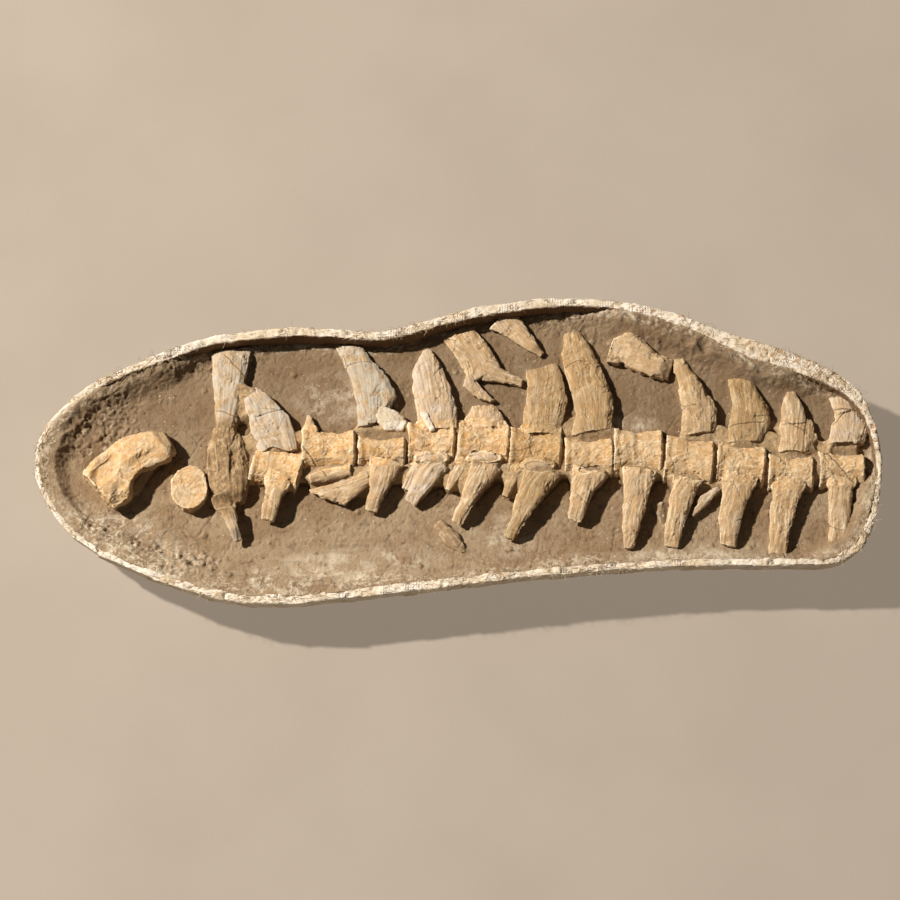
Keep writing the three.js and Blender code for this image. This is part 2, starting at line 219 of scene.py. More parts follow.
def vertex_array(mesh: bpy.types.Mesh, what: str) -> np.ndarray:
    """Reads three numbers for each vertex.

    Args:
        mesh: The mesh.
        what: "co" for places or "normal" for normals.

    Returns:
        One row to a vertex.
    """
    values = np.empty(len(mesh.vertices) * 3)
    mesh.vertices.foreach_get(what, values)
    return values.reshape(-1, 3)


def place_vertices(mesh: bpy.types.Mesh, points: np.ndarray) -> None:
    """Moves every vertex of a mesh."""
    mesh.vertices.foreach_set("co", points.astype(np.float32).ravel())
    mesh.update()


def mark(mesh: bpy.types.Mesh, name: str, values: np.ndarray) -> None:
    """Stores one number, or one vector, for each vertex under a name that materials read.

    Args:
        mesh: The mesh.
        name: The name.
        values: What to store.
    """
    vector = values.ndim == 2
    layer = mesh.attributes.new(name, "FLOAT_VECTOR" if vector else "FLOAT", "POINT")
    layer.data.foreach_set("vector" if vector else "value", values.astype(np.float32).ravel())


def hollowness(mesh: bpy.types.Mesh, rounds: int = 2) -> np.ndarray:
    """Measures how far each vertex lies below its neighbours.

    Args:
        mesh: An even mesh.
        rounds: How many times the result is averaged with its neighbours'.

    Returns:
        Millimetres, positive in hollows and negative on edges.
    """
    edges = np.empty(len(mesh.edges) * 2, dtype=np.int64)
    mesh.edges.foreach_get("vertices", edges)
    edges = edges.reshape(-1, 2)
    ends, others = np.concatenate([edges, edges[:, ::-1]]).T
    count = len(mesh.vertices)
    degree = np.maximum(np.bincount(ends, minlength=count), 1)

    def neighbours(values: np.ndarray) -> np.ndarray:
        """Averages values over each vertex's neighbours."""
        return np.bincount(ends, weights=values[others], minlength=count) / degree

    points = vertex_array(mesh, "co") / MM
    middle = np.stack([neighbours(points[:, axis]) for axis in range(3)], axis=1)
    depth = np.einsum("ij,ij->i", middle - points, vertex_array(mesh, "normal"))
    for _ in range(rounds):
        depth = 0.5 * depth + 0.5 * neighbours(depth)
    return depth


def linked(name: str, data: bpy.types.ID) -> bpy.types.Object:
    """Puts a mesh, a camera or a light into the scene.

    Args:
        name: The new object's name.
        data: What it shows.

    Returns:
        The object.
    """
    thing = bpy.data.objects.new(name, data)
    bpy.context.scene.collection.objects.link(thing)
    return thing


def new_piece(name: str, points: np.ndarray, faces: list[list[int]]) -> bpy.types.Object:
    """Makes a piece from points and faces.

    Args:
        name: Its name.
        points: Its corners, in plan millimetres.
        faces: The numbers of each face's corners.

    Returns:
        The new piece, in the scene.
    """
    mesh = bpy.data.meshes.new(name)
    mesh.from_pydata(kept_inside(points).tolist(), [], faces)
    mesh.update()
    return linked(name, mesh)


def remeshed(node: str, name: str, voxel: float, rounds: int) -> bpy.types.Object:
    """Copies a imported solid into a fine, even, softened mesh.

    Args:
        node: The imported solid's name.
        name: The new piece's name.
        voxel: Size of its faces, in millimetres.
        rounds: How many times its corners are softened.

    Returns:
        The new piece, in the scene.
    """
    piece = linked(name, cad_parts[node].data.copy())
    remesh = piece.modifiers.new("even", "REMESH")
    remesh.mode = "VOXEL"
    remesh.voxel_size = voxel * MM
    soften = piece.modifiers.new("soften", "SMOOTH")
    soften.factor = 0.5
    soften.iterations = rounds
    graph = bpy.context.evaluated_depsgraph_get()
    fine = bpy.data.meshes.new_from_object(piece.evaluated_get(graph))
    piece.modifiers.clear()
    piece.data = fine
    piece.data.name = name
    return piece


def dress(piece: bpy.types.Object, material: bpy.types.Material) -> None:
    """Gives a piece one material and smooth shading.

    Args:
        piece: The piece.
        material: Its only material.
    """
    piece.data.materials.clear()
    piece.data.materials.append(material)
    piece.data.polygons.foreach_set("use_smooth", [True] * len(piece.data.polygons))


def settle(piece: bpy.types.Object, nodes: tuple[str, ...] = ()) -> None:
    """Puts a piece on the object's one body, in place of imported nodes.

    Args:
        piece: The finished piece.
        nodes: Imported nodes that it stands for.
    """
    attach(piece, "root")
    if nodes:
        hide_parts(*nodes)
    log.info("%s: %d faces", piece.name, len(piece.data.polygons))


# Finishes


def tone(red: int, green: int, blue: int) -> Colour:
    """Turns a screen colour, 0 to 255, into the linear colour that a shader takes."""
    return (*(((v / 255 + 0.055) / 1.055) ** 2.4 if v > 10 else v / 3294.6 for v in (red, green, blue)), 1.0)


class Pattern:
    """A material's node tree, built up in coats of colour and layers of relief."""

    def __init__(self, name: str, colour: Colour) -> None:
        """Starts a material with one shader.

        Args:
            name: The material's name.
            colour: Its lowest colour.
        """
        self.material = bpy.data.materials.new(name)
        self.material.use_nodes = True
        self.tree = self.material.node_tree
        self.shader = self.tree.nodes["Principled BSDF"]
        self.place = self.add("ShaderNodeTexCoord").outputs["Object"]
        self.colour: Colour | bpy.types.NodeSocket = colour
        self.normal: bpy.types.NodeSocket | None = None

    def add(
        self, kind: str, inputs: dict[str | int, object] | None = None, **settings: object
    ) -> bpy.types.Node:
        """Adds a node.

        Args:
            kind: Its type.
            inputs: What goes into its inputs, by their names or numbers.
            **settings: Its options.

        Returns:
            The node.
        """
        node = self.tree.nodes.new(kind)
        for key, value in settings.items():
            setattr(node, key, value)
        self.feed(node, inputs or {})
        return node

    def feed(self, node: bpy.types.Node, inputs: dict[str | int, object]) -> None:
        """Links sockets to a node's inputs, or sets the inputs to plain values.

        Args:
            node: The node.
            inputs: A socket or a value for each input's name or number.
        """
        for key, source in inputs.items():
            if isinstance(source, bpy.types.NodeSocket):
                self.tree.links.new(source, node.inputs[key])
            else:
                node.inputs[key].default_value = source

    def marked(self, name: str) -> bpy.types.NodeSocket:
        """Reads a number stored on the mesh."""
        return self.add("ShaderNodeAttribute", attribute_name=name).outputs["Fac"]

    def marked_vector(self, name: str, scale: tuple[float, float, float]) -> bpy.types.NodeSocket:
        """Reads a vector stored on the mesh and scales it."""
        stored = self.add("ShaderNodeAttribute", attribute_name=name).outputs["Vector"]
        return self.add("ShaderNodeMapping", {"Vector": stored, "Scale": scale}).outputs["Vector"]

    def noise(
        self, size: float, detail: float = 4.0, where: bpy.types.NodeSocket | None = None, harsh: float = 0.55
    ) -> bpy.types.NodeSocket:
        """Adds noise.

        Args:
            size: Feature size in millimetres, or in the units of where.
            detail: Finer layers.
            where: Coordinates, if not the object's own.
            harsh: How strong the finer layers are.

        Returns:
            The noise's value, near 0.5.
        """
        scale = 1.0 / size if where else 1.0 / (size * MM)
        inputs = {"Vector": where or self.place, "Scale": scale, "Detail": detail, "Roughness": harsh}
        return self.add("ShaderNodeTexNoise", inputs).outputs["Fac"]

    def between(self, value: bpy.types.NodeSocket, low: float, high: float) -> bpy.types.NodeSocket:
        """Stretches a value so that low becomes 0 and high becomes 1."""
        inputs = {"Value": value, "From Min": low, "From Max": high}
        return self.add("ShaderNodeMapRange", inputs, interpolation_type="SMOOTHSTEP").outputs["Result"]

    def maths(self, operation: str, first: object, second: object) -> bpy.types.NodeSocket:
        """Works out one number, from 0 to 1, from two."""
        inputs = {0: first, 1: second}
        return self.add("ShaderNodeMath", inputs, operation=operation, use_clamp=True).outputs[0]

    def times(self, *factors: object) -> bpy.types.NodeSocket:
        """Multiplies two numbers or more.

        Args:
            *factors: Sockets or plain numbers.

        Returns:
            Their product.
        """
        result = factors[0]
        for factor in factors[1:]:
            result = self.maths("MULTIPLY", result, factor)
        return result

    def specks(self, apart: float, width: float, share: float) -> bpy.types.NodeSocket:
        """Scatters small spots.

        Args:
            apart: Millimetres from one possible place to the next.
            width: Width of a spot, in millimetres.
            share: Share of the places that have a spot.

        Returns:
            1 on a spot and 0 elsewhere.
        """
        cells = self.add("ShaderNodeTexVoronoi", {"Vector": self.place, "Scale": 1.0 / (apart * MM)})
        spot = self.between(cells.outputs["Distance"], 0.5 * width / apart, 0.35 * width / apart)
        draw = self.add("ShaderNodeSeparateColor", {"Color": cells.outputs["Color"]})
        return self.times(spot, self.maths("LESS_THAN", draw.outputs["Red"], share))

    def cloud(
        self, size: float, detail: float, low: float, high: float, harsh: float = 0.55
    ) -> bpy.types.NodeSocket:
        """Adds clouds of noise.

        Args:
            size: Their size in millimetres.
            detail: Finer layers.
            low: The noise's value where they begin.
            high: The noise's value where they are full.
            harsh: How strong the finer layers are.

        Returns:
            1 in a cloud and 0 elsewhere.
        """
        return self.between(self.noise(size, detail, None, harsh), low, high)

    def coat(self, colour: Colour, *share: object, blend: str = "MIX") -> None:
        """Lays a colour over those below.

        Args:
            colour: The colour.
            *share: How much of it shows, as factors that are multiplied.
            blend: How the two are blended.
        """
        inputs = {0: self.times(*share), 6: self.colour, 7: colour}
        self.colour = self.add("ShaderNodeMix", inputs, data_type="RGBA", blend_type=blend).outputs[2]

    def bump(self, height: bpy.types.NodeSocket, depth: float) -> None:
        """Adds fine relief to what there is.

        Args:
            height: The relief's value.
            depth: Its depth in millimetres.
        """
        inputs = {"Strength": 1.0, "Distance": depth * MM, "Height": height}
        if self.normal:
            inputs["Normal"] = self.normal
        self.normal = self.add("ShaderNodeBump", inputs).outputs["Normal"]

    def finish(self, rough_value: object, gloss: float) -> bpy.types.Material:
        """Feeds the shader.

        Args:
            rough_value: Roughness.
            gloss: Strength of its shine.

        Returns:
            The material.
        """
        surface = {"Base Color": self.colour, "Roughness": rough_value, "Normal": self.normal}
        self.feed(self.shader, surface | {"Specular IOR Level": gloss})
        return self.material


@dataclass(frozen=True)
class BoneFinish:
    """Mineralised bone: tan and ochre, with cream grain, grey-white weathering, mud and dark cracks, painted
    highlights on edges and crests, and painted shade in hollows.
    """

    tan: Colour = tone(178, 146, 107)
    ochre: Colour = tone(196, 150, 92)
    cream: Colour = tone(226, 207, 174)
    ash: Colour = tone(192, 182, 170)
    umber: Colour = tone(84, 60, 38)
    mud: Colour = tone(136, 110, 80)
    dimming: Colour = tone(230, 225, 212)

    def material(self) -> bpy.types.Material:
        """Builds the finish.

        Returns:
            The material.
        """
        p = Pattern("mineralised_bone", self.tan)
        p.coat(self.ochre, p.marked("warm"), p.cloud(24, 5, 0.25, 0.6))
        coarse = p.noise(1.0, 4, p.marked_vector("flow", (0.33, 0.03, 0.12)), 0.6)
        fine = p.noise(1.0, 3, p.marked_vector("flow", (1.1, 0.07, 0.3)), 0.6)
        p.coat(self.cream, p.between(coarse, 0.5, 0.66), p.marked("grain"), 0.5)
        p.coat(self.cream, p.cloud(13, 7, 0.5, 0.6, 0.7), 0.24)
        p.coat(self.umber, p.between(fine, 0.56, 0.72), p.marked("grain"), 0.45)
        p.coat(self.mud, p.cloud(9, 6, 0.5, 0.72), 0.4)
        p.coat(self.ash, p.marked("pale"), p.cloud(14, 6, 0.3, 0.6, 0.65))
        p.coat(self.mud, p.marked("mud"), p.cloud(7, 6, 0.3, 0.6, 0.7))
        # painted highlight on the bone's edges and crests
        p.coat(self.cream, p.marked("edge_highlight"), 0.7)
        # painted shade in the bone's hollows, plus its dark cracks
        p.coat(self.umber, p.marked("hollow_shade"), 0.8)
        p.coat(self.umber, p.cloud(1.6, 3, 0.64, 0.76), 0.35)
        p.coat(self.dimming, p.marked("dark"), blend="MULTIPLY")
        p.bump(p.times(fine, p.marked("grain")), 0.5)
        p.bump(p.noise(1.6, 5), 0.55)
        return p.finish(p.between(p.noise(12), -0.9, 0.9), 0.3)


@dataclass(frozen=True)
class MatrixFinish:
    """Dry clay-rich rock with fine pale and dark grains, and thin streaks of plaster, darker towards the far
    side, with painted shade in hollows and painted highlights on bumps.
    """

    clay: Colour = tone(139, 113, 84)
    light: Colour = tone(158, 135, 106)
    dark: Colour = tone(88, 67, 46)
    packed: Colour = tone(180, 148, 106)
    darker_far_side: Colour = tone(108, 86, 62)
    grain: Colour = tone(205, 192, 172)
    plaster: Colour = tone(207, 190, 164)

    def material(self) -> bpy.types.Material:
        """Builds the finish.

        Returns:
            The material.
        """
        p = Pattern("rock_matrix", self.clay)
        p.coat(self.light, p.cloud(48, 5, 0.36, 0.64))
        p.coat(self.dark, p.cloud(11, 6, 0.5, 0.75), 0.6)
        p.coat(self.light, p.cloud(2.6, 4, 0.5, 0.72), 0.4)
        # darker towards the far side of the trough
        p.coat(self.darker_far_side, p.marked("darker_far_side"), 0.5)
        p.coat(self.plaster, p.marked("pale"), p.cloud(22, 7, 0.42, 0.66, 0.72), 0.7)
        p.coat(self.packed, p.marked("packed"), p.cloud(8, 5, 0.2, 0.6))
        p.coat(self.plaster, p.marked("packed"), p.cloud(5, 5, 0.52, 0.62, 0.7), 0.6)
        wisps = p.noise(1.0, 7, p.marked_vector("along_wall", (0.055, 0.15, 0.0)), 0.78)
        flakes = p.cloud(6, 7, 0.53, 0.6, 0.75)
        clumps = p.cloud(36, 4, 0.33, 0.55)
        streak = p.times(p.maths("MAXIMUM", p.between(wisps, 0.5, 0.58), flakes), clumps)
        p.coat(self.plaster, p.marked("streaked"), streak)
        # painted shade in the rock's hollows
        p.coat(self.dark, p.marked("hollow_shade"), 0.85)
        # painted highlight on the rock's bumps
        p.coat(self.light, p.marked("edge_highlight"), 0.55)
        p.coat(self.grain, p.specks(11.0, 2.0, 0.7), 0.7)
        p.coat(self.plaster, p.specks(8.0, 1.3, 0.6), 0.7)
        p.coat(self.dark, p.specks(9.0, 2.2, 0.6), 0.7)
        p.bump(p.noise(5.0, 7, None, 0.68), 2.2)
        p.bump(p.noise(1.3, 3), 0.7)
        return p.finish(0.92, 0.2)


@dataclass(frozen=True)
class PlasterFinish:
    """Plaster brushed over burlap: cream on the rim, stained brown, and muddy inside, with dark pits and
    painted shade in hollows.
    """

    white: Colour = tone(221, 208, 189)
    cream: Colour = tone(202, 183, 155)
    stain: Colour = tone(158, 124, 86)
    mud: Colour = tone(118, 92, 66)
    pits_and_hollow_shade: Colour = tone(84, 62, 42)

    def material(self) -> bpy.types.Material:
        """Builds the finish.

        Returns:
            The material.
        """
        p = Pattern("plaster_over_burlap", self.white)
        p.coat(self.cream, p.cloud(30, 5, 0.4, 0.65))
        p.coat(self.stain, p.cloud(16, 8, 0.56, 0.62, 0.78), 0.75)
        p.coat(self.stain, p.marked("blotched"), p.cloud(7, 3, 0.56, 0.6), 0.8)
        combed = p.noise(1.0, 4, p.marked_vector("cloth", (0.06, 0.4, 0.0)), 0.6)
        p.coat(self.stain, p.between(combed, 0.58, 0.7), 0.4)
        p.coat(self.mud, p.marked("inside"), p.cloud(16, 6, 0.15, 0.4, 0.65))
        # painted shade in the plaster's hollows
        p.coat(self.pits_and_hollow_shade, p.marked("hollow_shade"), 0.7)
        p.coat(self.pits_and_hollow_shade, p.cloud(2.6, 3, 0.68, 0.73), 0.75)
        warp = self.threads(p, p.marked_vector("cloth", (1.0, 0.0, 0.0)))
        weft = self.threads(p, p.marked_vector("cloth", (0.0, 1.0, 0.0)))
        p.bump(p.times(p.maths("MAXIMUM", warp, weft), p.cloud(40, 3, 0.5, 0.62)), 0.6)
        p.bump(p.noise(6, 5), 1.0)
        p.bump(p.noise(1.3, 3), 0.4)
        return p.finish(0.88, 0.25)

    def threads(self, p: Pattern, where: bpy.types.NodeSocket) -> bpy.types.NodeSocket:
        """Adds parallel threads along one direction of the cloth.

        Args:
            p: The finish so far.
            where: Millimetres along that direction.

        Returns:
            The threads' height, from 0 to 1.
        """
        inputs = {"Vector": where, "Scale": 0.18, "Distortion": 1.6, "Detail": 1.0}
        node = p.add("ShaderNodeTexWave", inputs, wave_type="BANDS", bands_direction="DIAGONAL")
        return node.outputs["Fac"]


@dataclass(frozen=True)
class FibreFinish:
    """Loose burlap fibres, straw coloured."""

    straw: Colour = tone(210, 187, 150)
    dirty: Colour = tone(128, 98, 64)

    def material(self) -> bpy.types.Material:
        """Builds the finish.

        Returns:
            The material.
        """
        p = Pattern("burlap_fibre", self.straw)
        p.coat(self.dirty, p.cloud(20, 2, 0.4, 0.6))
        p.bump(p.noise(0.8, 2), 0.05)
        return p.finish(0.8, 0.3)


@dataclass(frozen=True)
class FloorFinish:
    """The plain pale floor, which glows a little by itself: painted light that keeps the jacket's shadow on it
    pale.
    """

    pale: Colour = tone(126, 116, 104)
    worn: Colour = tone(119, 109, 97)
    painted_glow: Colour = tone(138, 126, 112)

    def material(self) -> bpy.types.Material:
        """Builds the finish.

        Returns:
            The material.
        """
        p = Pattern("studio_floor", self.pale)
        p.coat(self.worn, p.cloud(300, 3, 0.3, 0.7))
        p.bump(p.noise(8, 3), 0.15)
        # painted light: the floor glows by itself, which lifts the jacket's shadow on it
        p.feed(p.shader, {"Emission Color": self.painted_glow, "Emission Strength": 1.0})
        return p.finish(0.85, 0.2)


# Places


@dataclass(frozen=True)
class Patch:
    """A soft oval area on the plan.

    It has a middle, half sizes, a lean in degrees from +x, and a core: the share of it at full strength.
    """

    x: float
    y: float
    half_x: float
    half_y: float
    lean: float = 0.0
    core: float = 0.4

    def share(self, points: np.ndarray) -> np.ndarray:
        """Works out how far each point is inside.

        Args:
            points: Places.

        Returns:
            1 at the patch's middle, falling to 0 at its border.
        """
        angle = math.radians(self.lean)
        dx, dy = points[:, 0] - self.x, points[:, 1] - self.y
        u = (dx * math.cos(angle) + dy * math.sin(angle)) / self.half_x
        v = (dy * math.cos(angle) - dx * math.sin(angle)) / self.half_y
        return 1.0 - ease(self.core, 1.0, np.hypot(u, v))


def covered(patches: tuple[Patch, ...], points: np.ndarray) -> np.ndarray:
    """Gives each point the largest share that it has of any of the patches."""
    return np.max([patch.share(points) for patch in patches], axis=0)


@dataclass(frozen=True)
class Crack:
    """A hairline crack between two places."""

    start_x: float
    start_y: float
    end_x: float
    end_y: float
    half_width: float = 0.6

    def share(self, points: np.ndarray) -> np.ndarray:
        """Works out how near each point is to the crack.

        Args:
            points: Places.

        Returns:
            1 in the crack, falling to 0 beside it.
        """
        start = np.array([self.start_x, self.start_y])
        along = np.array([self.end_x, self.end_y]) - start
        wiggle = np.stack([noise(points / 9, 60), noise(points / 9, 61)], axis=1)
        offset = points[:, :2] + 1.6 * wiggle - start
        place = np.clip(offset @ along / (along @ along), 0.0, 1.0)
        return bump_at(np.linalg.norm(offset - place[:, None] * along, axis=1), 0.0, self.half_width)


def round_keel(points: np.ndarray) -> tuple[np.ndarray, np.ndarray]:
    """Finds the way out from the trough's keel, and a distance round the jacket.

    Args:
        points: Places.

    Returns:
        Unit vectors on the plan, and millimetres round the outline.
    """
    left, right, middle = KEEL
    foot = np.clip(points[:, 0], left, right)
    dx, dy = points[:, 0] - foot, points[:, 1] - middle
    length = np.maximum(np.hypot(dx, dy), 1e-6)
    round_end = np.arctan2(dx, np.abs(dy)) * END_GIRTH
    arc = (foot + round_end) * np.where(dy >= 0, 1.0, -1.0)
    return np.stack([dx, dy], axis=1) / length[:, None], arc


# Bones


@dataclass(frozen=True)
class Drum:
    """A vertebra's centrum: its middle, length along its axis, height across, and turn in degrees."""

    x: float
    y: float
    length: float
    height: float
    turn: float = 0.0

    def local(self, points: np.ndarray) -> tuple[np.ndarray, np.ndarray]:
        """Takes points to the centrum's own axes.

        Args:
            points: Places.

        Returns:
            Millimetres along the centrum's axis, and across it.
        """
        angle = math.radians(self.turn)
        dx, dy = points[:, 0] - self.x, points[:, 1] - self.y
        return dx * math.cos(angle) + dy * math.sin(angle), dy * math.cos(angle) - dx * math.sin(angle)

    def facing(self, normals: np.ndarray) -> np.ndarray:
        """Gives how squarely each surface faces one of the centrum's ends, 1 at most."""
        angle = math.radians(self.turn)
        return np.abs(normals[:, 0] * math.cos(angle) + normals[:, 1] * math.sin(angle))

    def inside(self, points: np.ndarray) -> np.ndarray:
        """Works out which points are on the centrum.

        Args:
            points: Places.

        Returns:
            1 on the centrum, falling to 0 beyond it.
        """
        u, v = self.local(points)
        beyond = np.maximum(np.abs(u) - self.length / 2, np.abs(v) - self.height / 2)
        return 1.0 - ease(0.0, 5.0, beyond)


@dataclass(frozen=True)
class Blade:
    """A flat part of a bone: its root, length, and lean in degrees clockwise from +y."""

    x: float
    y: float
    length: float
    lean: float

    @property
    def way(self) -> np.ndarray:
        """The direction from root to tip."""
        return np.array([math.sin(math.radians(self.lean)), math.cos(math.radians(self.lean))])

    def distance(self, points: np.ndarray) -> np.ndarray:
        """Measures how far each point is from the blade's middle line.

        Args:
            points: Places.

        Returns:
            Millimetres on the plan.
        """
        offset = points[:, :2] - (self.x, self.y)
        share = np.clip(offset @ self.way, 0.0, self.length)
        return np.linalg.norm(offset - share[:, None] * self.way, axis=1)

    def grain(self, points: np.ndarray, spread: float = 90.0) -> np.ndarray:
        """Gives grain coordinates that fan out slightly from root to tip.

        Args:
            points: Places on the bone.
            spread: How far behind the root the grain meets.

        Returns:
            Millimetres across the grain, along it and up, for each point.
        """
        offset = points[:, :2] - (self.x, self.y) + spread * self.way
        along = np.linalg.norm(offset, axis=1)
        side = offset @ np.array([self.way[1], -self.way[0]])
        across = np.arcsin(np.clip(side / along, -1.0, 1.0)) * (spread + self.length / 2)
        return np.stack([across, along, points[:, 2]], axis=1)


class Weather(Enum):
    """How much of a bone has gone grey-white."""

    FRESH = 0.0
    SLIGHT = 0.35
    HALF = 0.7
    ASHEN = 1.0


@dataclass(frozen=True)
class Bone:
    """One bone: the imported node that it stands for, its parts, and how its surface has aged."""

    node: str
    blades: tuple[Blade, ...] = ()
    drum: Drum | None = None
    weather: Weather = Weather.FRESH
    mud: float = 0.0
    muddy: Patch | None = None
    warm: float = 0.12
    dark: float = 0.0
    grain: float = 1.0  # how strong the lengthwise grain is
    facet: Patch | None = None
    dents: tuple[tuple[Patch, float], ...] = ()  # hollows and their depths
    pulls: tuple[tuple[Patch, tuple[float, float]], ...] = ()  # parts of the outline that are shifted
    cracks: tuple[Crack, ...] = ()
    voxel: float = 1.0
    soften: int = 5
    shortest_sloped: float = 60.0  # blades shorter than this stay level
    slope: float = 0.42  # how far a tip goes down, as a share of its height above the ground
    flake_depth: float = 1.5
    crack_depth: float = 1.2
    hairline_depth: float = 0.7
    facet_sink: float = 2.2
    end_growth: float = 1.8  # how far a centrum's worn end reaches towards the next one

    @property
    def seed(self) -> int:
        """A number of its own for this bone's random marks."""
        return sum(ord(letter) * (index + 3) for index, letter in enumerate(self.node))

    def flow(self, points: np.ndarray, on_drum: np.ndarray) -> np.ndarray:
        """Works out which way the grain runs.

        Args:
            points: Places on the bone.
            on_drum: How far each point is on the centrum.

        Returns:
            Millimetres across the grain, along it and up, for each point.
        """
        if self.blades:
            reach = np.stack([blade.distance(points) for blade in self.blades])
            own = np.argmin(reach, axis=0)
            grain = np.stack([blade.grain(points) for blade in self.blades])
            grain = grain[own, np.arange(len(points))] + own[:, None] * (31.0, 0.0, 0.0)
        else:
            offset = points[:, :2] - points[:, :2].mean(axis=0)
            rings = np.hypot(offset[:, 0] * 1.25, offset[:, 1]) * 0.6
            grain = np.stack([rings, np.arctan2(offset[:, 1], offset[:, 0]) * 50.0, points[:, 2]], axis=1)
        if self.drum:
            u, v = self.drum.local(points)
            round_drum = np.stack([v * 0.7, u * 1.6, points[:, 2]], axis=1)
            grain = np.where(on_drum[:, None] > 0.5, round_drum, grain)
        return grain

    def lips(self, points: np.ndarray, on_drum: np.ndarray) -> np.ndarray:
        """Works out the worn lips at the centrum's two ends, the left one the higher.

        Args:
            points: Places on the bone.
            on_drum: How far each point is on the centrum.

        Returns:
            Height to add at each point.
        """
        u, v = self.drum.local(points)
        left = -u - self.drum.length / 2 + 1.5 * noise(points / 11, self.seed + 30)
        right = u - self.drum.length / 2 + 1.5 * noise(points / 11, self.seed + 31)
        worn = 0.55 + 0.7 * noise(points / 15, self.seed + 32)
        height = worn * (0.9 * bump_at(left, -2.0, 2.6) + 0.6 * bump_at(right, -1.5, 2.4))
        height -= 0.5 * bump_at(left, -8.0, 3.0) + 0.3 * bump_at(right, -7.0, 3.0)
        ribs = creased(noise(np.stack([v / 2.8, u / 18, points[:, 2] / 3], axis=1), self.seed + 33))
        height += 0.3 * ribs * bump_at(np.maximum(left, right), -9.0, 8.0)
        return height * on_drum

    def fractures(
        self, points: np.ndarray, sway: np.ndarray, up: np.ndarray
    ) -> tuple[np.ndarray, np.ndarray]:
        """Works out where the bone is cracked.

        Args:
            points: Places on the bone.
            sway: A slow random shift of each place.
            up: How far its surface faces up there.

        Returns:
            1 in a crack and 1 in a hairline, falling to 0 beside them.
        """
        cracked = np.zeros(len(points))
        for crack in self.cracks:
            cracked = np.maximum(cracked, crack.share(points) * ease(0.2, 0.6, up))
        gap = seams(points + 4.0 * sway, 47.0, self.seed + 10)
        hairlines = bump_at(gap, 0.0, 0.45) * ease(0.12, 0.4, noise(points / 40, self.seed + 11))
        return cracked, hairlines

    def facet_parts(
        self, points: np.ndarray, sway: np.ndarray, up: np.ndarray
    ) -> tuple[np.ndarray, np.ndarray]:
        """Works out the flat facet under the centrum.

        Args:
            points: Places on the bone.
            sway: A slow random shift of each place.
            up: How far its surface faces up there.

        Returns:
            1 on the facet, and 1 on its border.
        """
        share = self.facet.share(points + 6.0 * sway + 1.5 * noise(points / 5, self.seed + 24)[:, None])
        share *= ease(0.3, 0.7, up)
        return ease(0.3, 0.5, share), bump_at(share, 0.3, 0.16) * (share > 0.02)

    def carve(self, points: np.ndarray, normals: np.ndarray) -> tuple[np.ndarray, dict[str, np.ndarray]]:
        """Works out the surface's relief.

        Args:
            points: Places on the bone, in millimetres.
            normals: The way that its surface faces at each place.

        Returns:
            Height to raise each point by, and the marks that its finish reads.
        """
        seed, up = self.seed, normals[:, 2]
        on_drum = self.drum.inside(points) if self.drum else np.zeros(len(points))
        sway = on_plan(noise(points / 22, seed + 20), noise(points / 22, seed + 21))
        flow = self.flow(points + 2.6 * sway, on_drum)
        strand = creased(noise(flow * (1 / 3.6, 1 / 42, 1 / 9), seed))
        strand_fine = creased(noise(flow * (1 / 1.9, 1 / 22, 1 / 5), seed + 1))
        height = 1.2 * rough(points / 21, seed + 2) + 0.55 * rough(points / 6, seed + 3)
        grain = self.grain * (1.0 - 0.75 * on_drum)
        height += grain * (0.42 * strand + 0.28 * strand_fine)
        curls = bump_at(rough(points / 10 + 0.5 * sway, seed + 4), 0.0, 0.08)
        curls = np.maximum(curls, 0.7 * bump_at(rough(points / 6 + 0.5 * sway, seed + 5, 2), 0.0, 0.09))
        smooth = np.maximum(on_drum, 1.0 - self.grain)
        height += (0.1 + 0.4 * smooth) * curls
        end = np.zeros(len(points))
        if self.drum:
            height += self.lips(points, on_drum)
            end = on_drum * ease(0.35, 0.85, self.drum.facing(normals))
        plate = rough(points / 17 + 0.2 * rough(points / 4, seed + 6)[:, None], seed + 7)
        flaked = 0.5 * ease(0.10, 0.14, plate) + 0.5 * ease(0.30, 0.34, plate)
        height -= self.flake_depth * flaked
        side = (1.0 - ease(0.3, 0.75, up)) * (1.0 - 0.7 * end)
        nibbled = ease(0.2, 0.6, noise(points / 8, seed + 23))
        height += side * (1.3 * noise(points / 13, seed + 22) - 2.4 * nibbled) + self.end_growth * end
        cracked, hairlines = self.fractures(points, sway, up)
        height -= self.crack_depth * cracked + self.hairline_depth * hairlines
        pale = np.clip(self.weather.value + 0.45 * rough(points / 26, seed + 12), 0.0, 1.0)
        pale *= 1.0 - 0.8 * on_drum
        # painted highlight on the crests of curls and, further down, on the facet's raised border
        edge_highlight = 0.6 * curls * smooth
        for patch, depth in self.dents:
            height -= depth * patch.share(points) * ease(0.0, 0.5, up)
        if self.facet:
            inner, border = self.facet_parts(points, sway, up)
            height += inner * (self.flake_depth * flaked - self.facet_sink) + 0.25 * border
            pale = np.maximum(pale, 0.5 * inner)
            edge_highlight = np.maximum(edge_highlight * (1.0 - inner), 0.35 * border)
        low = ease(78.0, 70.0, points[:, 2] + 3.0 * noise(points / 12, seed + 13))
        mud = np.clip(self.mud + 0.5 * rough(points / 15, seed + 14), 0.0, 1.0) * (self.mud > 0)
        if self.muddy:
            mud = np.maximum(mud, self.muddy.share(points + 6.0 * sway))
            pale *= 1.0 - mud
            edge_highlight *= 1.0 - mud
        marks = {
            "pale": pale,
            "warm": np.clip(on_drum * (0.45 + 0.55 * ease(330.0, -80.0, points[:, 0])) + self.warm, 0.0, 1.0),
            "mud": np.clip(mud + 0.85 * low, 0.0, 1.0),
            "cracked": np.maximum(cracked, 0.6 * hairlines),
            "crest_highlight": edge_highlight,
            "flow": flow,
            "grain": grain,
            "dark": np.full(len(points), self.dark),
        }
        return height, marks

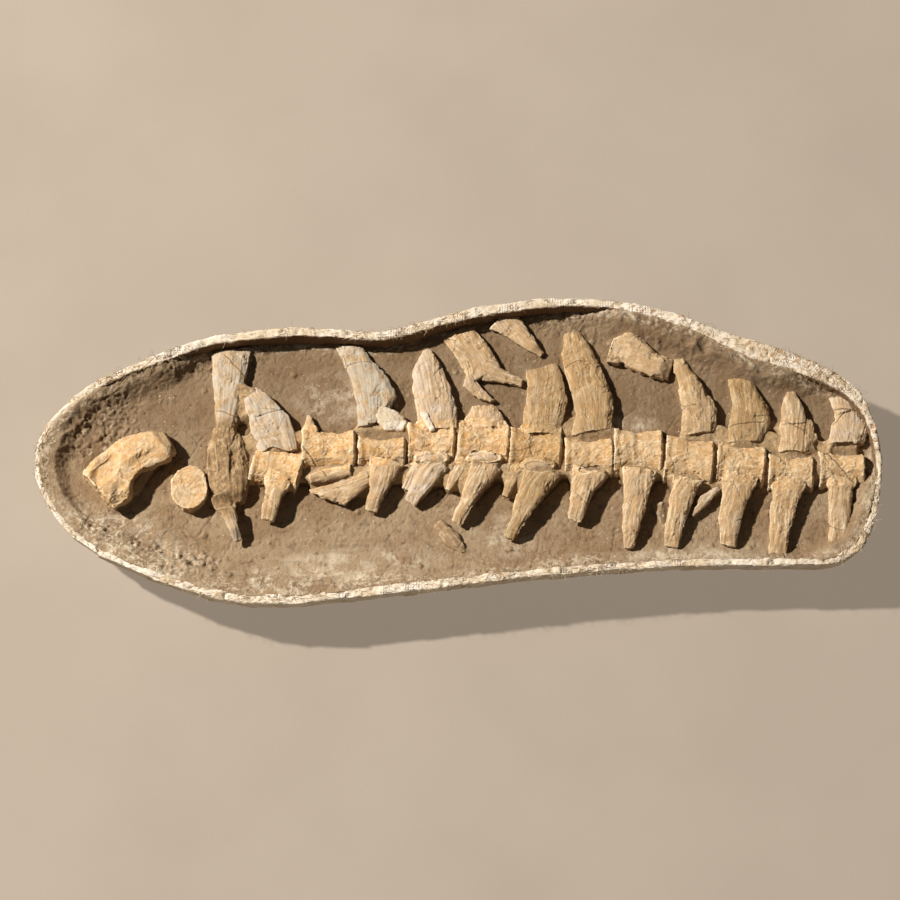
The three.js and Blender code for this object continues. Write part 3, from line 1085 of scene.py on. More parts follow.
    def pulled(self, points: np.ndarray) -> np.ndarray:
        """Shifts soft patches of the bone along the plan.

        Args:
            points: Places on the bone.

        Returns:
            The places, with those in the patches shifted.
        """
        moved = points.copy()
        for patch, shift in self.pulls:
            moved[:, :2] += patch.share(points)[:, None] * shift
        return moved

    def droop(self, points: np.ndarray) -> np.ndarray:
        """Slopes each blade's tip down towards the ground.

        Args:
            points: Places on the bone.

        Returns:
            The places, with those near a tip lowered.
        """
        sunk = np.zeros(len(points))
        for blade in self.blades:
            if blade.length < self.shortest_sloped:
                continue
            offset = points[:, :2] - (blade.x, blade.y)
            along, aside = offset @ blade.way, offset @ np.array([blade.way[1], -blade.way[0]])
            near = ease(-16.0, 2.0, along - blade.length) * ease(34.0, 26.0, np.abs(aside))
            sunk = np.maximum(sunk, near * (along < blade.length + 8))
        lowered = points.copy()
        lowered[:, 2] -= self.slope * sunk * np.maximum(points[:, 2] - BED_LEVEL, 0.0)
        return lowered

    def build(self, material: bpy.types.Material) -> bpy.types.Object:
        """Makes the bone.

        Args:
            material: Its finish.

        Returns:
            The piece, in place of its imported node.
        """
        piece = remeshed(self.node, self.node + "_bone", self.voxel, self.soften)
        mesh = piece.data
        points = to_plan(vertex_array(mesh, "co"))
        normals = vertex_array(mesh, "normal")
        height, marks = self.carve(points, normals)
        place_vertices(mesh, kept_inside(self.pulled(self.droop(points)) + normals * height[:, None]))
        depth = hollowness(mesh)
        # painted shade in the bone's hollows, together with the cracks' own dark
        mark(mesh, "hollow_shade", np.clip(ease(0.04, 0.26, depth) + marks["cracked"], 0.0, 1.0))
        # painted highlight on the bone's raised edges, less where mud lies
        edge_highlight = ease(0.03, 0.18, -depth) * (1.0 - 0.6 * marks["mud"]) + marks["crest_highlight"]
        mark(mesh, "edge_highlight", np.clip(edge_highlight, 0.0, 1.0))
        for name in ("pale", "warm", "mud", "flow", "grain", "dark"):
            mark(mesh, name, marks[name])
        dress(piece, material)
        return piece


@dataclass
class Backbone:
    """The vertebrae from left to right, their loose spines and the scattered pieces."""

    bones: tuple[Bone, ...] = (
        Bone(
            "vertebra_01",
            (Blade(-464, -57, 116, 49),),
            warm=0.75,
            grain=0.25,
            dents=(
                (Patch(-457, -28, 32, 17, 60, 0.45), 6.5),
                (Patch(-438, -60, 24, 12, 65, 0.2), 2.4),
                (Patch(-406, -14, 30, 12, 30, 0.3), 3.0),
            ),
            pulls=(
                (Patch(-396, -48, 32, 26, 30, 0.3), (-11.0, 9.0)),
                (Patch(-374, -8, 26, 22, 0, 0.2), (4.0, -5.0)),
            ),
        ),
        Bone("vertebra_02", warm=0.6, grain=0.2, dents=((Patch(-348, -49, 25, 31, 0, 0.82), 1.0),)),
        Bone(
            "vertebra_03",
            (Blade(-303, 20, 130, 2), Blade(-305, 36, 106, 174), Blade(-305, -58, 66, 161)),
            weather=Weather.HALF,
            dark=0.7,
            muddy=Patch(-300, -22, 50, 80, 0, 0.75),
            dents=((Patch(-320, -8, 7, 36, 8, 0.5), 4.0), (Patch(-291, -4, 6, 38, -6, 0.5), 3.4)),
            cracks=(Crack(-307, 139, -270, 98), Crack(-318, 60, -284, 48)),
        ),
        Bone(
            "vertebra_04",
            (Blade(-231, -28, 66, -167),),
            Drum(-236, -24, 62, 49, -12),
            pulls=((Patch(-222, 0, 46, 24, -12, 0.4), (2.0, 9.0)),),
        ),
        Bone(
            "vertebra_05",
            (Blade(-193, 30, 26, -4), Blade(-140, -25, 54, -102)),
            Drum(-169, 7, 66, 60),
            muddy=Patch(-170, -38, 40, 12),
            cracks=(Crack(-210, 16, -170, -34, 0.8),),
        ),
        Bone("vertebra_06", (Blade(-93, -12, 71, -164),), Drum(-100, 4, 58, 44), mud=0.1),
        Bone(
            "vertebra_07",
            (Blade(-27, 32, 118, -7), Blade(-26, -14, 66, -146), Blade(-46, -4, 50, -155)),
            Drum(-35, 15, 58, 56),
            weather=Weather.SLIGHT,
            facet=Patch(-34, -9, 26, 9, -5),
        ),
        Bone(
            "vertebra_08",
            (Blade(36, 36, 33, -5), Blade(38, -16, 90, -153), Blade(7, -8, 48, -154)),
            Drum(33, 15, 64, 63, -3),
            facet=Patch(35, -10, 27, 9, -4),
        ),
        Bone(
            "vertebra_09",
            (Blade(108, 26, 99, 1), Blade(111, -24, 104, -154), Blade(79, -16, 48, -157)),
            Drum(101, 6, 64, 61, -3),
            facet=Patch(104, -19, 27, 9, -4),
            mud=0.12,
            dark=0.8,
        ),
        Bone(
            "vertebra_10",
            (Blade(172, -26, 71, -162),),
            Drum(170, -3, 60, 56),
            facet=Patch(172, -26, 22, 8),
        ),
        Bone("vertebra_11", (Blade(236, -24, 107, -171),), Drum(234, 4, 60, 68, -2)),
        Bone(
            "vertebra_12",
            (Blade(297, -36, 94, -166),),
            Drum(300, -10, 60, 64, -6),
            pulls=((Patch(300, 22, 44, 22, -6, 0.4), (0.0, 6.0)),),
        ),
        Bone(
            "vertebra_13",
            (Blade(367, -30, 98, -169),),
            Drum(367, -15, 60, 56, -6),
            pulls=((Patch(367, 12, 44, 22, -6, 0.4), (0.0, 5.0)),),
        ),
        Bone("vertebra_14", (Blade(430, -36, 104, -170),), Drum(432, -25, 56, 51, -3)),
        Bone(
            "vertebra_15",
            (Blade(498, -34, 100, -174),),
            Drum(498, -21, 56, 49),
            cracks=(Crack(474, 8, 512, -43, 0.8),),
        ),
        Bone(
            "neural_spine_04",
            (Blade(-236, 10, 90, -26),),
            weather=Weather.HALF,
            dark=0.4,
            pulls=((Patch(-212, 20, 36, 32, 0, 0.3), (6.0, -15.0)),),
            cracks=(Crack(-262, 50, -228, 62),),
        ),
        Bone("neural_spine_06", (Blade(-118, 38, 127, -13),), weather=Weather.ASHEN, dark=0.9),
        Bone("neural_spine_10", (Blade(175, 29, 147, -9),), dark=0.9),
        Bone("neural_spine_12", (Blade(312, 26, 119, -12),), mud=0.1, dark=0.5),
        Bone(
            "neural_spine_13",
            (Blade(373, 15, 102, -3),),
            mud=0.1,
            dark=1.0,
            cracks=(Crack(346, 36, 400, 44, 0.9),),
        ),
        Bone("neural_spine_14", (Blade(438, 1, 97, 1),), dark=0.3, cracks=(Crack(430, 44, 452, 30),)),
        Bone(
            "neural_spine_15",
            (Blade(505, 13, 80, -6),),
            weather=Weather.SLIGHT,
            cracks=(Crack(486, 63, 512, 60, 0.9), Crack(482, 34, 506, 58)),
        ),
        Bone(
            "loose_arch",
            (Blade(36, 112, 76, -31), Blade(22, 124, 54, 154), Blade(36, 120, 52, 110)),
            mud=0.3,
        ),
        Bone("loose_process", (Blade(-117, -33, 77, -104),), mud=0.1),
        Bone("loose_spine_tip", (Blade(57, 194, 75, 134),)),
        Bone(
            "loose_slab",
            (Blade(200, 146, 84, 108),),
            grain=0.4,
            dents=((Patch(206, 150, 26, 12, -20), 2.0),),
        ),
        Bone("splinter_low", (Blade(-26, -94, 54, 140),), mud=0.6),
        Bone("splinter_middle", (Blade(259, -66, 40, 165),), weather=Weather.HALF, mud=0.3),
        Bone("splinter_right", (Blade(339, -47, 52, -136),), weather=Weather.SLIGHT, mud=0.2),
    )

    def build(self) -> None:
        """Makes every bone."""
        material = BoneFinish().material()
        for bone in self.bones:
            settle(bone.build(material), (bone.node,))


@dataclass
class PlasterDabs:
    """Dabs of plaster on two of the spines."""

    nodes: tuple[str, ...] = ("plaster_dab_06", "plaster_dab_07")

    def build(self, material: bpy.types.Material) -> None:
        """Makes the dabs.

        Args:
            material: The jacket's plaster.
        """
        for seed, node in enumerate(self.nodes):
            piece = remeshed(node, node + "_lump", 0.9, 4)
            points = to_plan(vertex_array(piece.data, "co"))
            height = 1.6 * rough(points / 11, 70 + seed) + 0.7 * rough(points / 3, 80 + seed)
            normals = vertex_array(piece.data, "normal")
            place_vertices(piece.data, kept_inside(points + normals * height[:, None]))
            # painted shade in the dab's hollows
            mark(piece.data, "hollow_shade", ease(0.05, 0.3, hollowness(piece.data)))
            mark(piece.data, "inside", np.zeros(len(points)))
            mark(piece.data, "blotched", np.zeros(len(points)))
            mark(piece.data, "cloth", np.zeros((len(points), 3)))
            dress(piece, material)
            settle(piece, (node,))


# Matrix


@dataclass
class MatrixBed:
    """The ground of clay-rich rock that the bones lie in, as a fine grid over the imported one."""

    spacing: float = 1.4
    columns: tuple[float, float] = (-553.0, 554.0)  # first and last x of the grid
    rows: tuple[float, float] = (-214.0, 219.0)  # first and last y of the grid
    floor: float = 57.0  # height of its flat underside
    contact: float = 7.0  # how high a bone's underside may be and still touch the ground
    gap_reach: float = 9.0  # gaps between bones up to twice this wide are packed with rock
    bridge_reach: float = 17.0  # the same in the bridged patches
    bridge_depth: float = 3.0  # how much deeper the packing lies there
    gap_depth: float = 6.4  # how far the packing lies below the bones' tops, between the centra
    arch_depth: float = 1.0  # the same between a centrum and its spine
    shore_reach: float = 34.0  # how far from the wall the ground is banked up
    shore_rise: float = 15.0
    lowest_rim: float = 82.0  # whatever is lower than this on the jacket isn't its rim
    rim_reach: float = 42.0  # how far in the ground stays below the rim
    rim_gap: float = 1.5  # how far below the rim it stays
    crag_height: float = 1.9
    crumb_height: float = 1.5
    ledge_drops: tuple[float, float] = (1.6, 1.4)
    brush_depth: float = 1.2
    spall_depth: float = 1.0
    pit_depth: float = 0.7
    contact_rise: float = 2.6  # how far the ground laps up against a bone
    lift: float = 1.0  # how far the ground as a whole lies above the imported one
    comb_height: float = 2.0
    stones: int = 520
    piled: float = 0.2  # share of the stones that lie in the pebbled patches
    lumpy: tuple[Patch, ...] = (
        Patch(-470, 45, 95, 80, 40),
        Patch(330, 165, 150, 44, -18),
        Patch(-410, -135, 150, 34, -24),
        Patch(-330, 138, 130, 34, 12),
        Patch(150, 190, 90, 30, 0),
        Patch(520, -60, 30, 110, 0),
    )
    banked: tuple[Patch, ...] = (
        Patch(-520, -40, 130, 190),
        Patch(-330, -190, 260, 80, -12),
        Patch(330, 170, 185, 80, -20, 0.6),
        Patch(-450, 95, 150, 60, 32, 0.6),
        Patch(520, -100, 90, 110),
    )
    combed: tuple[Patch, ...] = (
        Patch(350, 160, 200, 60, -22, 0.6),
        Patch(-450, 90, 150, 60, 32, 0.6),
    )
    backbone_x: tuple[float, ...] = (-240, -169, -100, -35, 33, 101, 170, 234, 300, 367, 432, 498)
    backbone_y: tuple[float, ...] = (-24, 7, 4, 15, 15, 6, -3, 4, -10, -15, -25, -21)
    packed: tuple[Patch, ...] = (Patch(131, 0, 1100, 88), Patch(-285, 75, 50, 50), Patch(-298, -5, 70, 75))
    bridged: tuple[Patch, ...] = (
        Patch(-219, 4, 34, 24, 0, 0.7),
        Patch(339, 22, 24, 26, 0, 0.7),
        Patch(404, 14, 24, 24, 0, 0.7),
        Patch(-112, 30, 34, 24, 0, 0.7),
    )
    brushed: tuple[Patch, ...] = (
        Patch(-170, -140, 190, 60),
        Patch(-430, -120, 90, 60, -30),
        Patch(330, 150, 120, 40, -15),
    )
    smeared: tuple[Patch, ...] = (
        Patch(-166, 82, 62, 48),
        Patch(-130, -150, 150, 34, 3),
        Patch(225, 46, 46, 14),
        Patch(300, -140, 120, 22),
        Patch(60, -110, 60, 40),
    )
    streaked: tuple[Patch, ...] = (
        Patch(-420, -130, 170, 60, -24),
        Patch(-150, -185, 240, 36, -4),
        Patch(300, -150, 300, 22),
    )
    pebbled: tuple[Patch, ...] = (
        Patch(-335, -152, 60, 24, -12),
        Patch(-480, 30, 50, 50),
        Patch(300, 165, 130, 30, -15),
    )

    def cast(self, tree: BVHTree, x: np.ndarray, y: np.ndarray) -> np.ndarray:
        """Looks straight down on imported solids.

        Args:
            tree: The solids.
            x: Columns' places.
            y: Rows' places.

        Returns:
            Height for each row and column, with NaN where there is nothing.
        """
        down = Vector((0, 0, -1))
        height = np.full((len(y), len(x)), np.nan)
        for row, py in enumerate(y):
            for column, px in enumerate(x):
                hit = tree.ray_cast(Vector((px * MM, (py - PLAN_MIDDLE_Y) * MM, 0.2)), down)[0]
                if hit is not None:
                    height[row, column] = hit.z / MM
        return height

    def solids(self, names: list[str]) -> BVHTree:
        """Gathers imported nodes, to be looked at from above or below.

        Args:
            names: The nodes' names.

        Returns:
            Their faces, ready for rays.
        """
        corners: list[Vector] = []
        faces: list[list[int]] = []
        for name in names:
            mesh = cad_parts[name].data
            start = len(corners)
            corners.extend(v.co.copy() for v in mesh.vertices)
            faces.extend([start + i for i in p.vertices] for p in mesh.polygons)
        return BVHTree.FromPolygons(corners, faces)

    def widened(self, height: np.ndarray, cells: int) -> np.ndarray:
        """Carries the ground a few cells into the jacket's wall.

        Args:
            height: Grid with NaN outside.
            cells: How far.

        Returns:
            The wider grid.
        """
        for _ in range(cells):
            padded = np.pad(height, 1, constant_values=np.nan)
            around = np.stack([padded[1:-1, :-2], padded[1:-1, 2:], padded[:-2, 1:-1], padded[2:, 1:-1]])
            known = ~np.isnan(around)
            total = np.where(known, around, 0.0).sum(axis=0)
            count = known.sum(axis=0)
            filled = np.where(count > 0, total / np.maximum(count, 1), np.nan)
            height = np.where(np.isnan(height), filled, height)
        return height

    def under_bones(self, bones: BVHTree, x: np.ndarray, y: np.ndarray, height: np.ndarray) -> np.ndarray:
        """Finds where a bone lies on the ground.

        Args:
            bones: The bones.
            x: Columns' places.
            y: Rows' places.
            height: The ground's height.

        Returns:
            A grid with 1 where a bone's underside is within reach of the ground.
        """
        up = Vector((0, 0, 1))
        touched = np.zeros(height.shape)
        for row, column in zip(*np.nonzero(~np.isnan(height))):
            start = Vector((x[column] * MM, (y[row] - PLAN_MIDDLE_Y) * MM, (height[row, column] - 3.0) * MM))
            if bones.ray_cast(start, up, (self.contact + 3.0) * MM)[0] is not None:
                touched[row, column] = 1.0
        return touched

    def spread(self, grid: np.ndarray, reach: int, highest: bool) -> np.ndarray:
        """Takes the highest, or lowest, value within a round reach of each cell.

        Args:
            grid: Values.
            reach: How many cells.
            highest: Whether the highest is taken.

        Returns:
            A grid of the same shape.
        """
        pick = np.maximum if highest else np.minimum
        padded = np.pad(grid, reach, mode="edge")
        rows, columns = grid.shape
        result = grid
        for dy, dx in np.ndindex(2 * reach + 1, 2 * reach + 1):
            if (dy - reach) ** 2 + (dx - reach) ** 2 <= reach**2:
                result = pick(result, padded[dy : dy + rows, dx : dx + columns])
        return result

    def filled_between(self, tops: np.ndarray, reach: float) -> np.ndarray:
        """Fills the gaps between high places.

        Args:
            tops: Heights.
            reach: Half the width of the widest gap that is filled, in millimetres.

        Returns:
            The filled heights.
        """
        cells = round(reach / self.spacing)
        return blurred(self.spread(self.spread(tops, cells, True), cells, False), 0.8)

    def rim_height(self, x: np.ndarray, y: np.ndarray) -> np.ndarray:
        """Finds the height of the rim next to each column and row.

        Args:
            x: Columns' places.
            y: Rows' places.

        Returns:
            Heights, with NaN where no rim is near.
        """
        wall = np.nan_to_num(self.cast(self.solids(["plaster_jacket"]), x, y))
        wall[wall < self.lowest_rim] = 0.0
        wall = self.spread(wall, 5, True)
        wall[wall == 0.0] = np.nan
        near = self.widened(wall, round(self.rim_reach / self.spacing))
        return np.where(np.isnan(near), np.nan, blurred(np.nan_to_num(near, nan=np.nanmax(near)), 3.0))

    def wall_distance(self, inside: np.ndarray) -> np.ndarray:
        """Measures how far each cell is from the wall.

        Args:
            inside: Where there is ground.

        Returns:
            Millimetres, up to the shore's reach.
        """
        distance = np.zeros(inside.shape)
        left = inside.astype(float)
        for step in range(int(self.shore_reach / self.spacing) + 1):
            left = self.spread(left, 1, False)
            distance += left
        return blurred(distance, 1.5) * self.spacing

    def relief(self, points: np.ndarray, shore: np.ndarray) -> tuple[np.ndarray, np.ndarray]:
        """Works out the ground's lumps, tool marks and stones.

        Args:
            points: Places on the ground.
            shore: 1 at the wall, falling to 0 away from it.

        Returns:
            Height to add, and how pale each place is.
        """
        lumpy = np.maximum(covered(self.lumpy, points), 0.35 * shore)
        brushed = covered(self.brushed, points)
        height = 1.4 * rough(points / 55, 200) + 0.6 * rough(points / 14, 203)
        height += 0.4 * rough(points / 4, 206, 2)
        crags = creased(rough(points / 34 + 0.4 * rough(points / 11, 209)[:, None], 210))
        ledges = rough(points / 19 + 0.3 * rough(points / 6, 212)[:, None], 213)
        crumbs = 1.0 - 2.4 * np.abs(rough(points / 13 + 0.5 * rough(points / 5, 215)[:, None], 216))
        upper, lower = self.ledge_drops
        lumps = self.crag_height * crags + self.crumb_height * crumbs + rough(points / 3.2, 218)
        height += lumpy * lumps
        height -= lumpy * (upper * ease(0.02, 0.07, ledges) + lower * ease(0.3, 0.36, ledges))
        height += brushed * self.brush_depth * rough(points * (1 / 70, 1 / 4.5, 0), 222)
        spall = seams(points + 6 * rough(points / 20, 226)[:, None], 46, 228)
        height -= self.spall_depth * bump_at(spall, 0.0, 0.8) * ease(0.1, 0.4, noise(points / 70, 230))
        height -= self.pit_depth * ease(0.5, 0.75, noise(points / 5, 232))
        pale = covered(self.smeared, points)
        self.add_stones(points, height, pale)
        return height, pale

    def add_stones(self, points: np.ndarray, height: np.ndarray, pale: np.ndarray) -> None:
        """Scatters small stones over the ground.

        Args:
            points: Places on the ground.
            height: Height to add at each place, which is raised under a stone.
            pale: How pale each place is, which is set under a stone.
        """
        rng = np.random.default_rng(31)
        for _ in range(self.stones):
            x, y = rng.uniform(-540, 545), rng.uniform(-200, 205)
            size = rng.choice([1.5, 2.0, 2.8, 4.2], p=[0.5, 0.3, 0.15, 0.05])
            if rng.random() < self.piled:
                patch = self.pebbled[rng.integers(len(self.pebbled))]
                x, y = patch.x + rng.normal(0, patch.half_x / 2), patch.y + rng.normal(0, patch.half_y / 2)
                size = rng.uniform(1.8, 5.6)
            shade = rng.choice([0.0, 0.3, 1.0], p=[0.5, 0.3, 0.2])
            near = np.nonzero((np.abs(points[:, 0] - x) < size) & (np.abs(points[:, 1] - y) < size))[0]
            round_top = 1.0 - (np.hypot(points[near, 0] - x, points[near, 1] - y) / size) ** 2
            height[near] += np.sqrt(np.clip(round_top, 0.0, 1.0)) * size * 0.55
            pale[near] = np.where(round_top > 0, shade, pale[near])

    def build(self) -> None:
        """Makes the ground, closed below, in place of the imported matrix."""
        x = np.arange(*self.columns, self.spacing)
        y = np.arange(*self.rows, self.spacing)
        bare = self.cast(self.solids(["rock_matrix"]), x, y)
        height = self.widened(bare, 4)
        inside = ~np.isnan(height)
        distance = self.wall_distance(~np.isnan(bare))[inside]
        ground = ("rock_matrix", "plaster_jacket")
        bones = self.solids([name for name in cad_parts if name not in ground])
        touched = self.under_bones(bones, x, y, height)
        tops = np.fmax(self.cast(bones, x, y), np.nan_to_num(height))
        cells = np.argwhere(inside)
        points = np.stack([x[cells[:, 1]], y[cells[:, 0]], height[inside]], axis=1)
        closed = self.filled_between(tops, self.gap_reach)[inside]
        wide = self.filled_between(tops, self.bridge_reach)[inside]
        bridged = covered(self.bridged, points)
        closed += (wide - closed) * bridged - self.bridge_depth * bridged
        shore = 1.0 - ease(0.0, self.shore_reach, distance)
        added, pale = self.relief(points * (1, 1, 0), shore)
        bank = covered(self.banked, points)
        points[:, 2] += added + self.contact_rise * blurred(touched, 1.6)[inside] + self.lift
        points[:, 2] += self.shore_rise * bank * shore
        streaked = covered(self.streaked, points)
        arc = round_keel(points)[1]
        combed = covered(self.combed, points) * (0.3 + 0.7 * shore)
        wisps = on_plan(arc / 22, (distance + 5 * rough(points / 21, 248)) / 5.0)
        strands = 1.0 - 2.2 * np.abs(rough(wisps, 250))
        points[:, 2] += self.comb_height * np.maximum(combed, 0.3 * streaked) * strands
        points[:, 2] = np.fmin(points[:, 2], self.rim_height(x, y)[inside] - self.rim_gap + 0.5 * added)
        near_bones = covered(self.packed, points)
        aside = np.abs(points[:, 1] - np.interp(points[:, 0], self.backbone_x, self.backbone_y))
        depth = self.gap_depth + (self.arch_depth - self.gap_depth) * ease(20.0, 30.0, aside)
        fill = closed - depth + 1.2 * rough(points / 13, 240) + 0.5 * rough(points / 4, 242)
        fill -= 30.0 * (1.0 - near_bones)
        packed = ease(-1.0, 2.0, fill - points[:, 2])
        points[:, 2] = np.maximum(points[:, 2], fill)
        mottled = 0.55 + 0.45 * ease(0.2, -0.2, rough(points / 16, 252))
        marks = {
            "pale": pale,
            "packed": packed * ease(14.0, 30.0, aside) * mottled,
            # darker towards the far side of the trough, as y grows
            "darker_far_side": ease(-80.0, 60.0, points[:, 1] + 14 * rough(points / 30, 246)),
            "streaked": np.maximum(streaked * 0.9, 0.7 * (1.0 - ease(2.0, 13.0, distance))),
            "along_wall": on_plan(arc, distance + 16 * rough(points / 32, 244)),
        }
        number = np.full(height.shape, -1)
        number[inside] = np.arange(len(points))
        corners = (number[:-1, :-1], number[:-1, 1:], number[1:, 1:], number[1:, :-1])
        quads = np.stack(corners, axis=-1).reshape(-1, 4)
        piece = self.closed(points, quads[(quads >= 0).all(axis=1)], marks)
        settle(piece, ("rock_matrix",))

    def closed(self, points: np.ndarray, quads: np.ndarray, marks: dict[str, np.ndarray]) -> bpy.types.Object:
        """Joins the ground, its sides and its flat underside into one closed piece.

        Args:
            points: The ground's points.
            quads: Its faces.
            marks: What its finish reads at each point.

        Returns:
            The piece.
        """
        count = len(points)
        below = points.copy()
        below[:, 2] = self.floor
        edges = np.concatenate([quads[:, [0, 1]], quads[:, [1, 2]], quads[:, [2, 3]], quads[:, [3, 0]]])
        keys = edges[:, 0] * count + edges[:, 1]
        border = edges[~np.isin(keys, edges[:, 1] * count + edges[:, 0])]
        sides = np.stack([border[:, 1], border[:, 0], border[:, 0] + count, border[:, 1] + count], axis=1)
        faces = np.concatenate([quads, quads[:, ::-1] + count, sides])
        piece = new_piece("rock_matrix_bed", np.concatenate([points, below]), faces.tolist())
        mesh = piece.data
        depth = hollowness(mesh)
        # painted shade in the ground's hollows and painted highlight on its bumps
        mark(mesh, "hollow_shade", ease(0.05, 0.36, depth))
        mark(mesh, "edge_highlight", ease(0.05, 0.36, -depth))
        for name, values in marks.items():
            mark(mesh, name, np.concatenate([values, values]))
        dress(piece, MatrixFinish().material())
        return piece


# Jacket


@dataclass
class FieldJacket:
    """The trough of plaster over burlap."""

    voxel: float = 1.9
    strip: float = 88.0  # width of the burlap strips that lap over one another
    lap_rise: float = 1.2
    flap_rise: float = 1.2
    inner_lumps: tuple[float, float] = (2.2, 1.2)  # coarse and fine, on the inner side of the wall
    bite_depth: float = 2.6  # where plaster has broken off the rim
    rim_points: np.ndarray = field(default_factory=lambda: np.empty((0, 3)))  # found by build()
    blotched: tuple[Patch, ...] = (
        Patch(380, 130, 220, 70, -26, 0.7),
        Patch(-470, 70, 120, 50, 35),
        Patch(540, 20, 40, 120),
    )

    def build(self, material: bpy.types.Material) -> None:
        """Makes the jacket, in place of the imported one.

        Args:
            material: Its plaster.
        """
        piece = remeshed("plaster_jacket", "plaster_jacket_shell", self.voxel, 3)
        mesh = piece.data
        points = to_plan(vertex_array(mesh, "co"))
        normals = vertex_array(mesh, "normal")
        out, arc = round_keel(points)
        facing = (normals[:, :2] * out).sum(axis=1)
        inside = ease(0.1, -0.4, facing) * ease(0.8, 0.3, normals[:, 2])
        outside = ease(-0.1, 0.4, facing)
        rim = ease(0.2, 0.7, normals[:, 2]) * ease(76.0, 82.0, points[:, 2])
        laps = (arc + 0.5 * points[:, 2] + 14 * noise(points / 60, 300)) / self.strip
        lap = laps - np.floor(laps)
        height = 0.9 * rough(points / 30, 301) + 0.8 * rough(points / 9, 304)
        height += 0.35 * rough(points / 3.5, 308, 2)
        height += outside * (self.lap_rise * lap**3 - 1.0)
        flaps = on_plan(arc / 26, points[:, 2] / 9)
        height += (rim + outside * ease(60.0, 80.0, points[:, 2])) * self.flap_rise * rough(flaps, 310)
        height += rim * (1.2 * rough(points / 7, 312) + 0.6 * noise(points / 18, 316) - 0.8)
        coarse, fine = self.inner_lumps
        height += inside * (coarse * rough(points / 13, 320) + fine * rough(points / 4, 322))
        height -= self.bite_depth * rim * ease(0.28, 0.46, rough(points / 11, 324))
        height *= ease(0.2, 5.0, points[:, 2])
        moved = points + normals * height[:, None]
        place_vertices(mesh, kept_inside(moved))
        # painted shade in the jacket's hollows
        mark(mesh, "hollow_shade", ease(0.3, 0.9, hollowness(mesh)))
        mark(mesh, "inside", inside)
        mark(mesh, "blotched", covered(self.blotched, points) * ease(58.0, 80.0, points[:, 2]))
        mark(mesh, "cloth", on_plan(arc, np.abs(points[:, 1] - KEEL[2]) + points[:, 2]))
        dress(piece, material)
        settle(piece, ("plaster_jacket",))
        self.rim_points = moved[rim > 0.8]


@dataclass
class LooseFibres:
    """Burlap fibres that stand out of the rim or lie along it."""

    count: int = 2400
    laid: float = 0.45  # share of the fibres that lie along the rim
    radius: float = 0.25
    joints: int = 8
    lengths: tuple[float, float] = (5.0, 16.0)  # shortest and longest
    laid_curl: float = 0.06
    free_curl: float = 0.26
    least_chance: float = 0.25  # chance of a fibre outside the frayed patches, against 1.25 in their middle
    room: float = 0.5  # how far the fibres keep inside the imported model's box
    frayed: tuple[Patch, ...] = (
        Patch(525, -120, 80, 80),
        Patch(500, 110, 110, 60, -30),
        Patch(-280, -200, 120, 40),
        Patch(-545, -20, 40, 90),
        Patch(120, -175, 300, 30),
        Patch(-60, 175, 160, 35),
        Patch(-420, 130, 90, 40, 20),
    )

    def build(self, rim_points: np.ndarray) -> None:
        """Makes the fibres as one piece of thin tubes.

        Args:
            rim_points: Places on the rim that a fibre may start from.
        """
        rng = np.random.default_rng(7)
        chance = self.least_chance + covered(self.frayed, rim_points)
        starts = rim_points[rng.choice(len(rim_points), self.count, p=chance / chance.sum())]
        out = round_keel(starts)[0]
        corners: list[np.ndarray] = []
        faces: list[list[int]] = []
        for start, (out_x, out_y) in zip(starts, out):
            if rng.random() < self.laid:
                along_rim = np.array([-out_y, out_x, 0.0]) * rng.choice([-1.0, 1.0])
                way = along_rim + rng.normal(0, 0.3, 3) * (1, 1, 0.1)
                self.fibre(rng, start + (0, 0, 0.3), way, self.laid_curl, corners, faces)
            else:
                turn = rng.uniform(0, 2 * math.pi)
                way = np.array([math.cos(turn), math.sin(turn), rng.uniform(-0.4, 0.5)])
                self.fibre(rng, start, way, self.free_curl, corners, faces)
        piece = new_piece("burlap_fibres", np.array(corners), faces)
        dress(piece, FibreFinish().material())
        settle(piece)

    def fibre(
        self,
        rng: np.random.Generator,
        start: np.ndarray,
        way: np.ndarray,
        curl: float,
        corners: list[np.ndarray],
        faces: list[list[int]],
    ) -> None:
        """Adds one curled fibre.

        Args:
            rng: Seeded random numbers.
            start: Where it leaves the plaster.
            way: The way it sets out.
            curl: How strongly it curls.
            corners: Points so far, which grow.
            faces: Faces so far, which grow.
        """
        length = rng.uniform(*self.lengths)
        bend = rng.normal(0, curl, 3) * (1, 1, 0.5)
        spot = start.copy()
        first = len(corners)
        low = to_plan(np.array(cad_low)) + self.room
        high = to_plan(np.array(cad_high)) - self.room
        for joint in range(self.joints):
            way = way / np.linalg.norm(way)
            side = np.cross(way, (0.0, 0.0, 1.0))
            side /= np.linalg.norm(side)
            lift = np.cross(side, way)
            size = self.radius * (1.0 - 0.5 * joint / (self.joints - 1))
            for angle in (0.5, 2.6, 4.7):
                corners.append(spot + size * (math.cos(angle) * side + math.sin(angle) * lift))
            way = way + bend + rng.normal(0, curl / 3, 3)
            spot = np.clip(spot + way / np.linalg.norm(way) * length / self.joints, low, high)
        for joint in range(self.joints - 1):
            base = first + 3 * joint
            for i, after in ((0, 1), (1, 2), (2, 0)):
                faces.append([base + i, base + after, base + after + 3, base + i + 3])
        faces.append([first + 2, first + 1, first])
        last = first + 3 * (self.joints - 1)
        faces.append([last, last + 1, last + 2])


# Studio


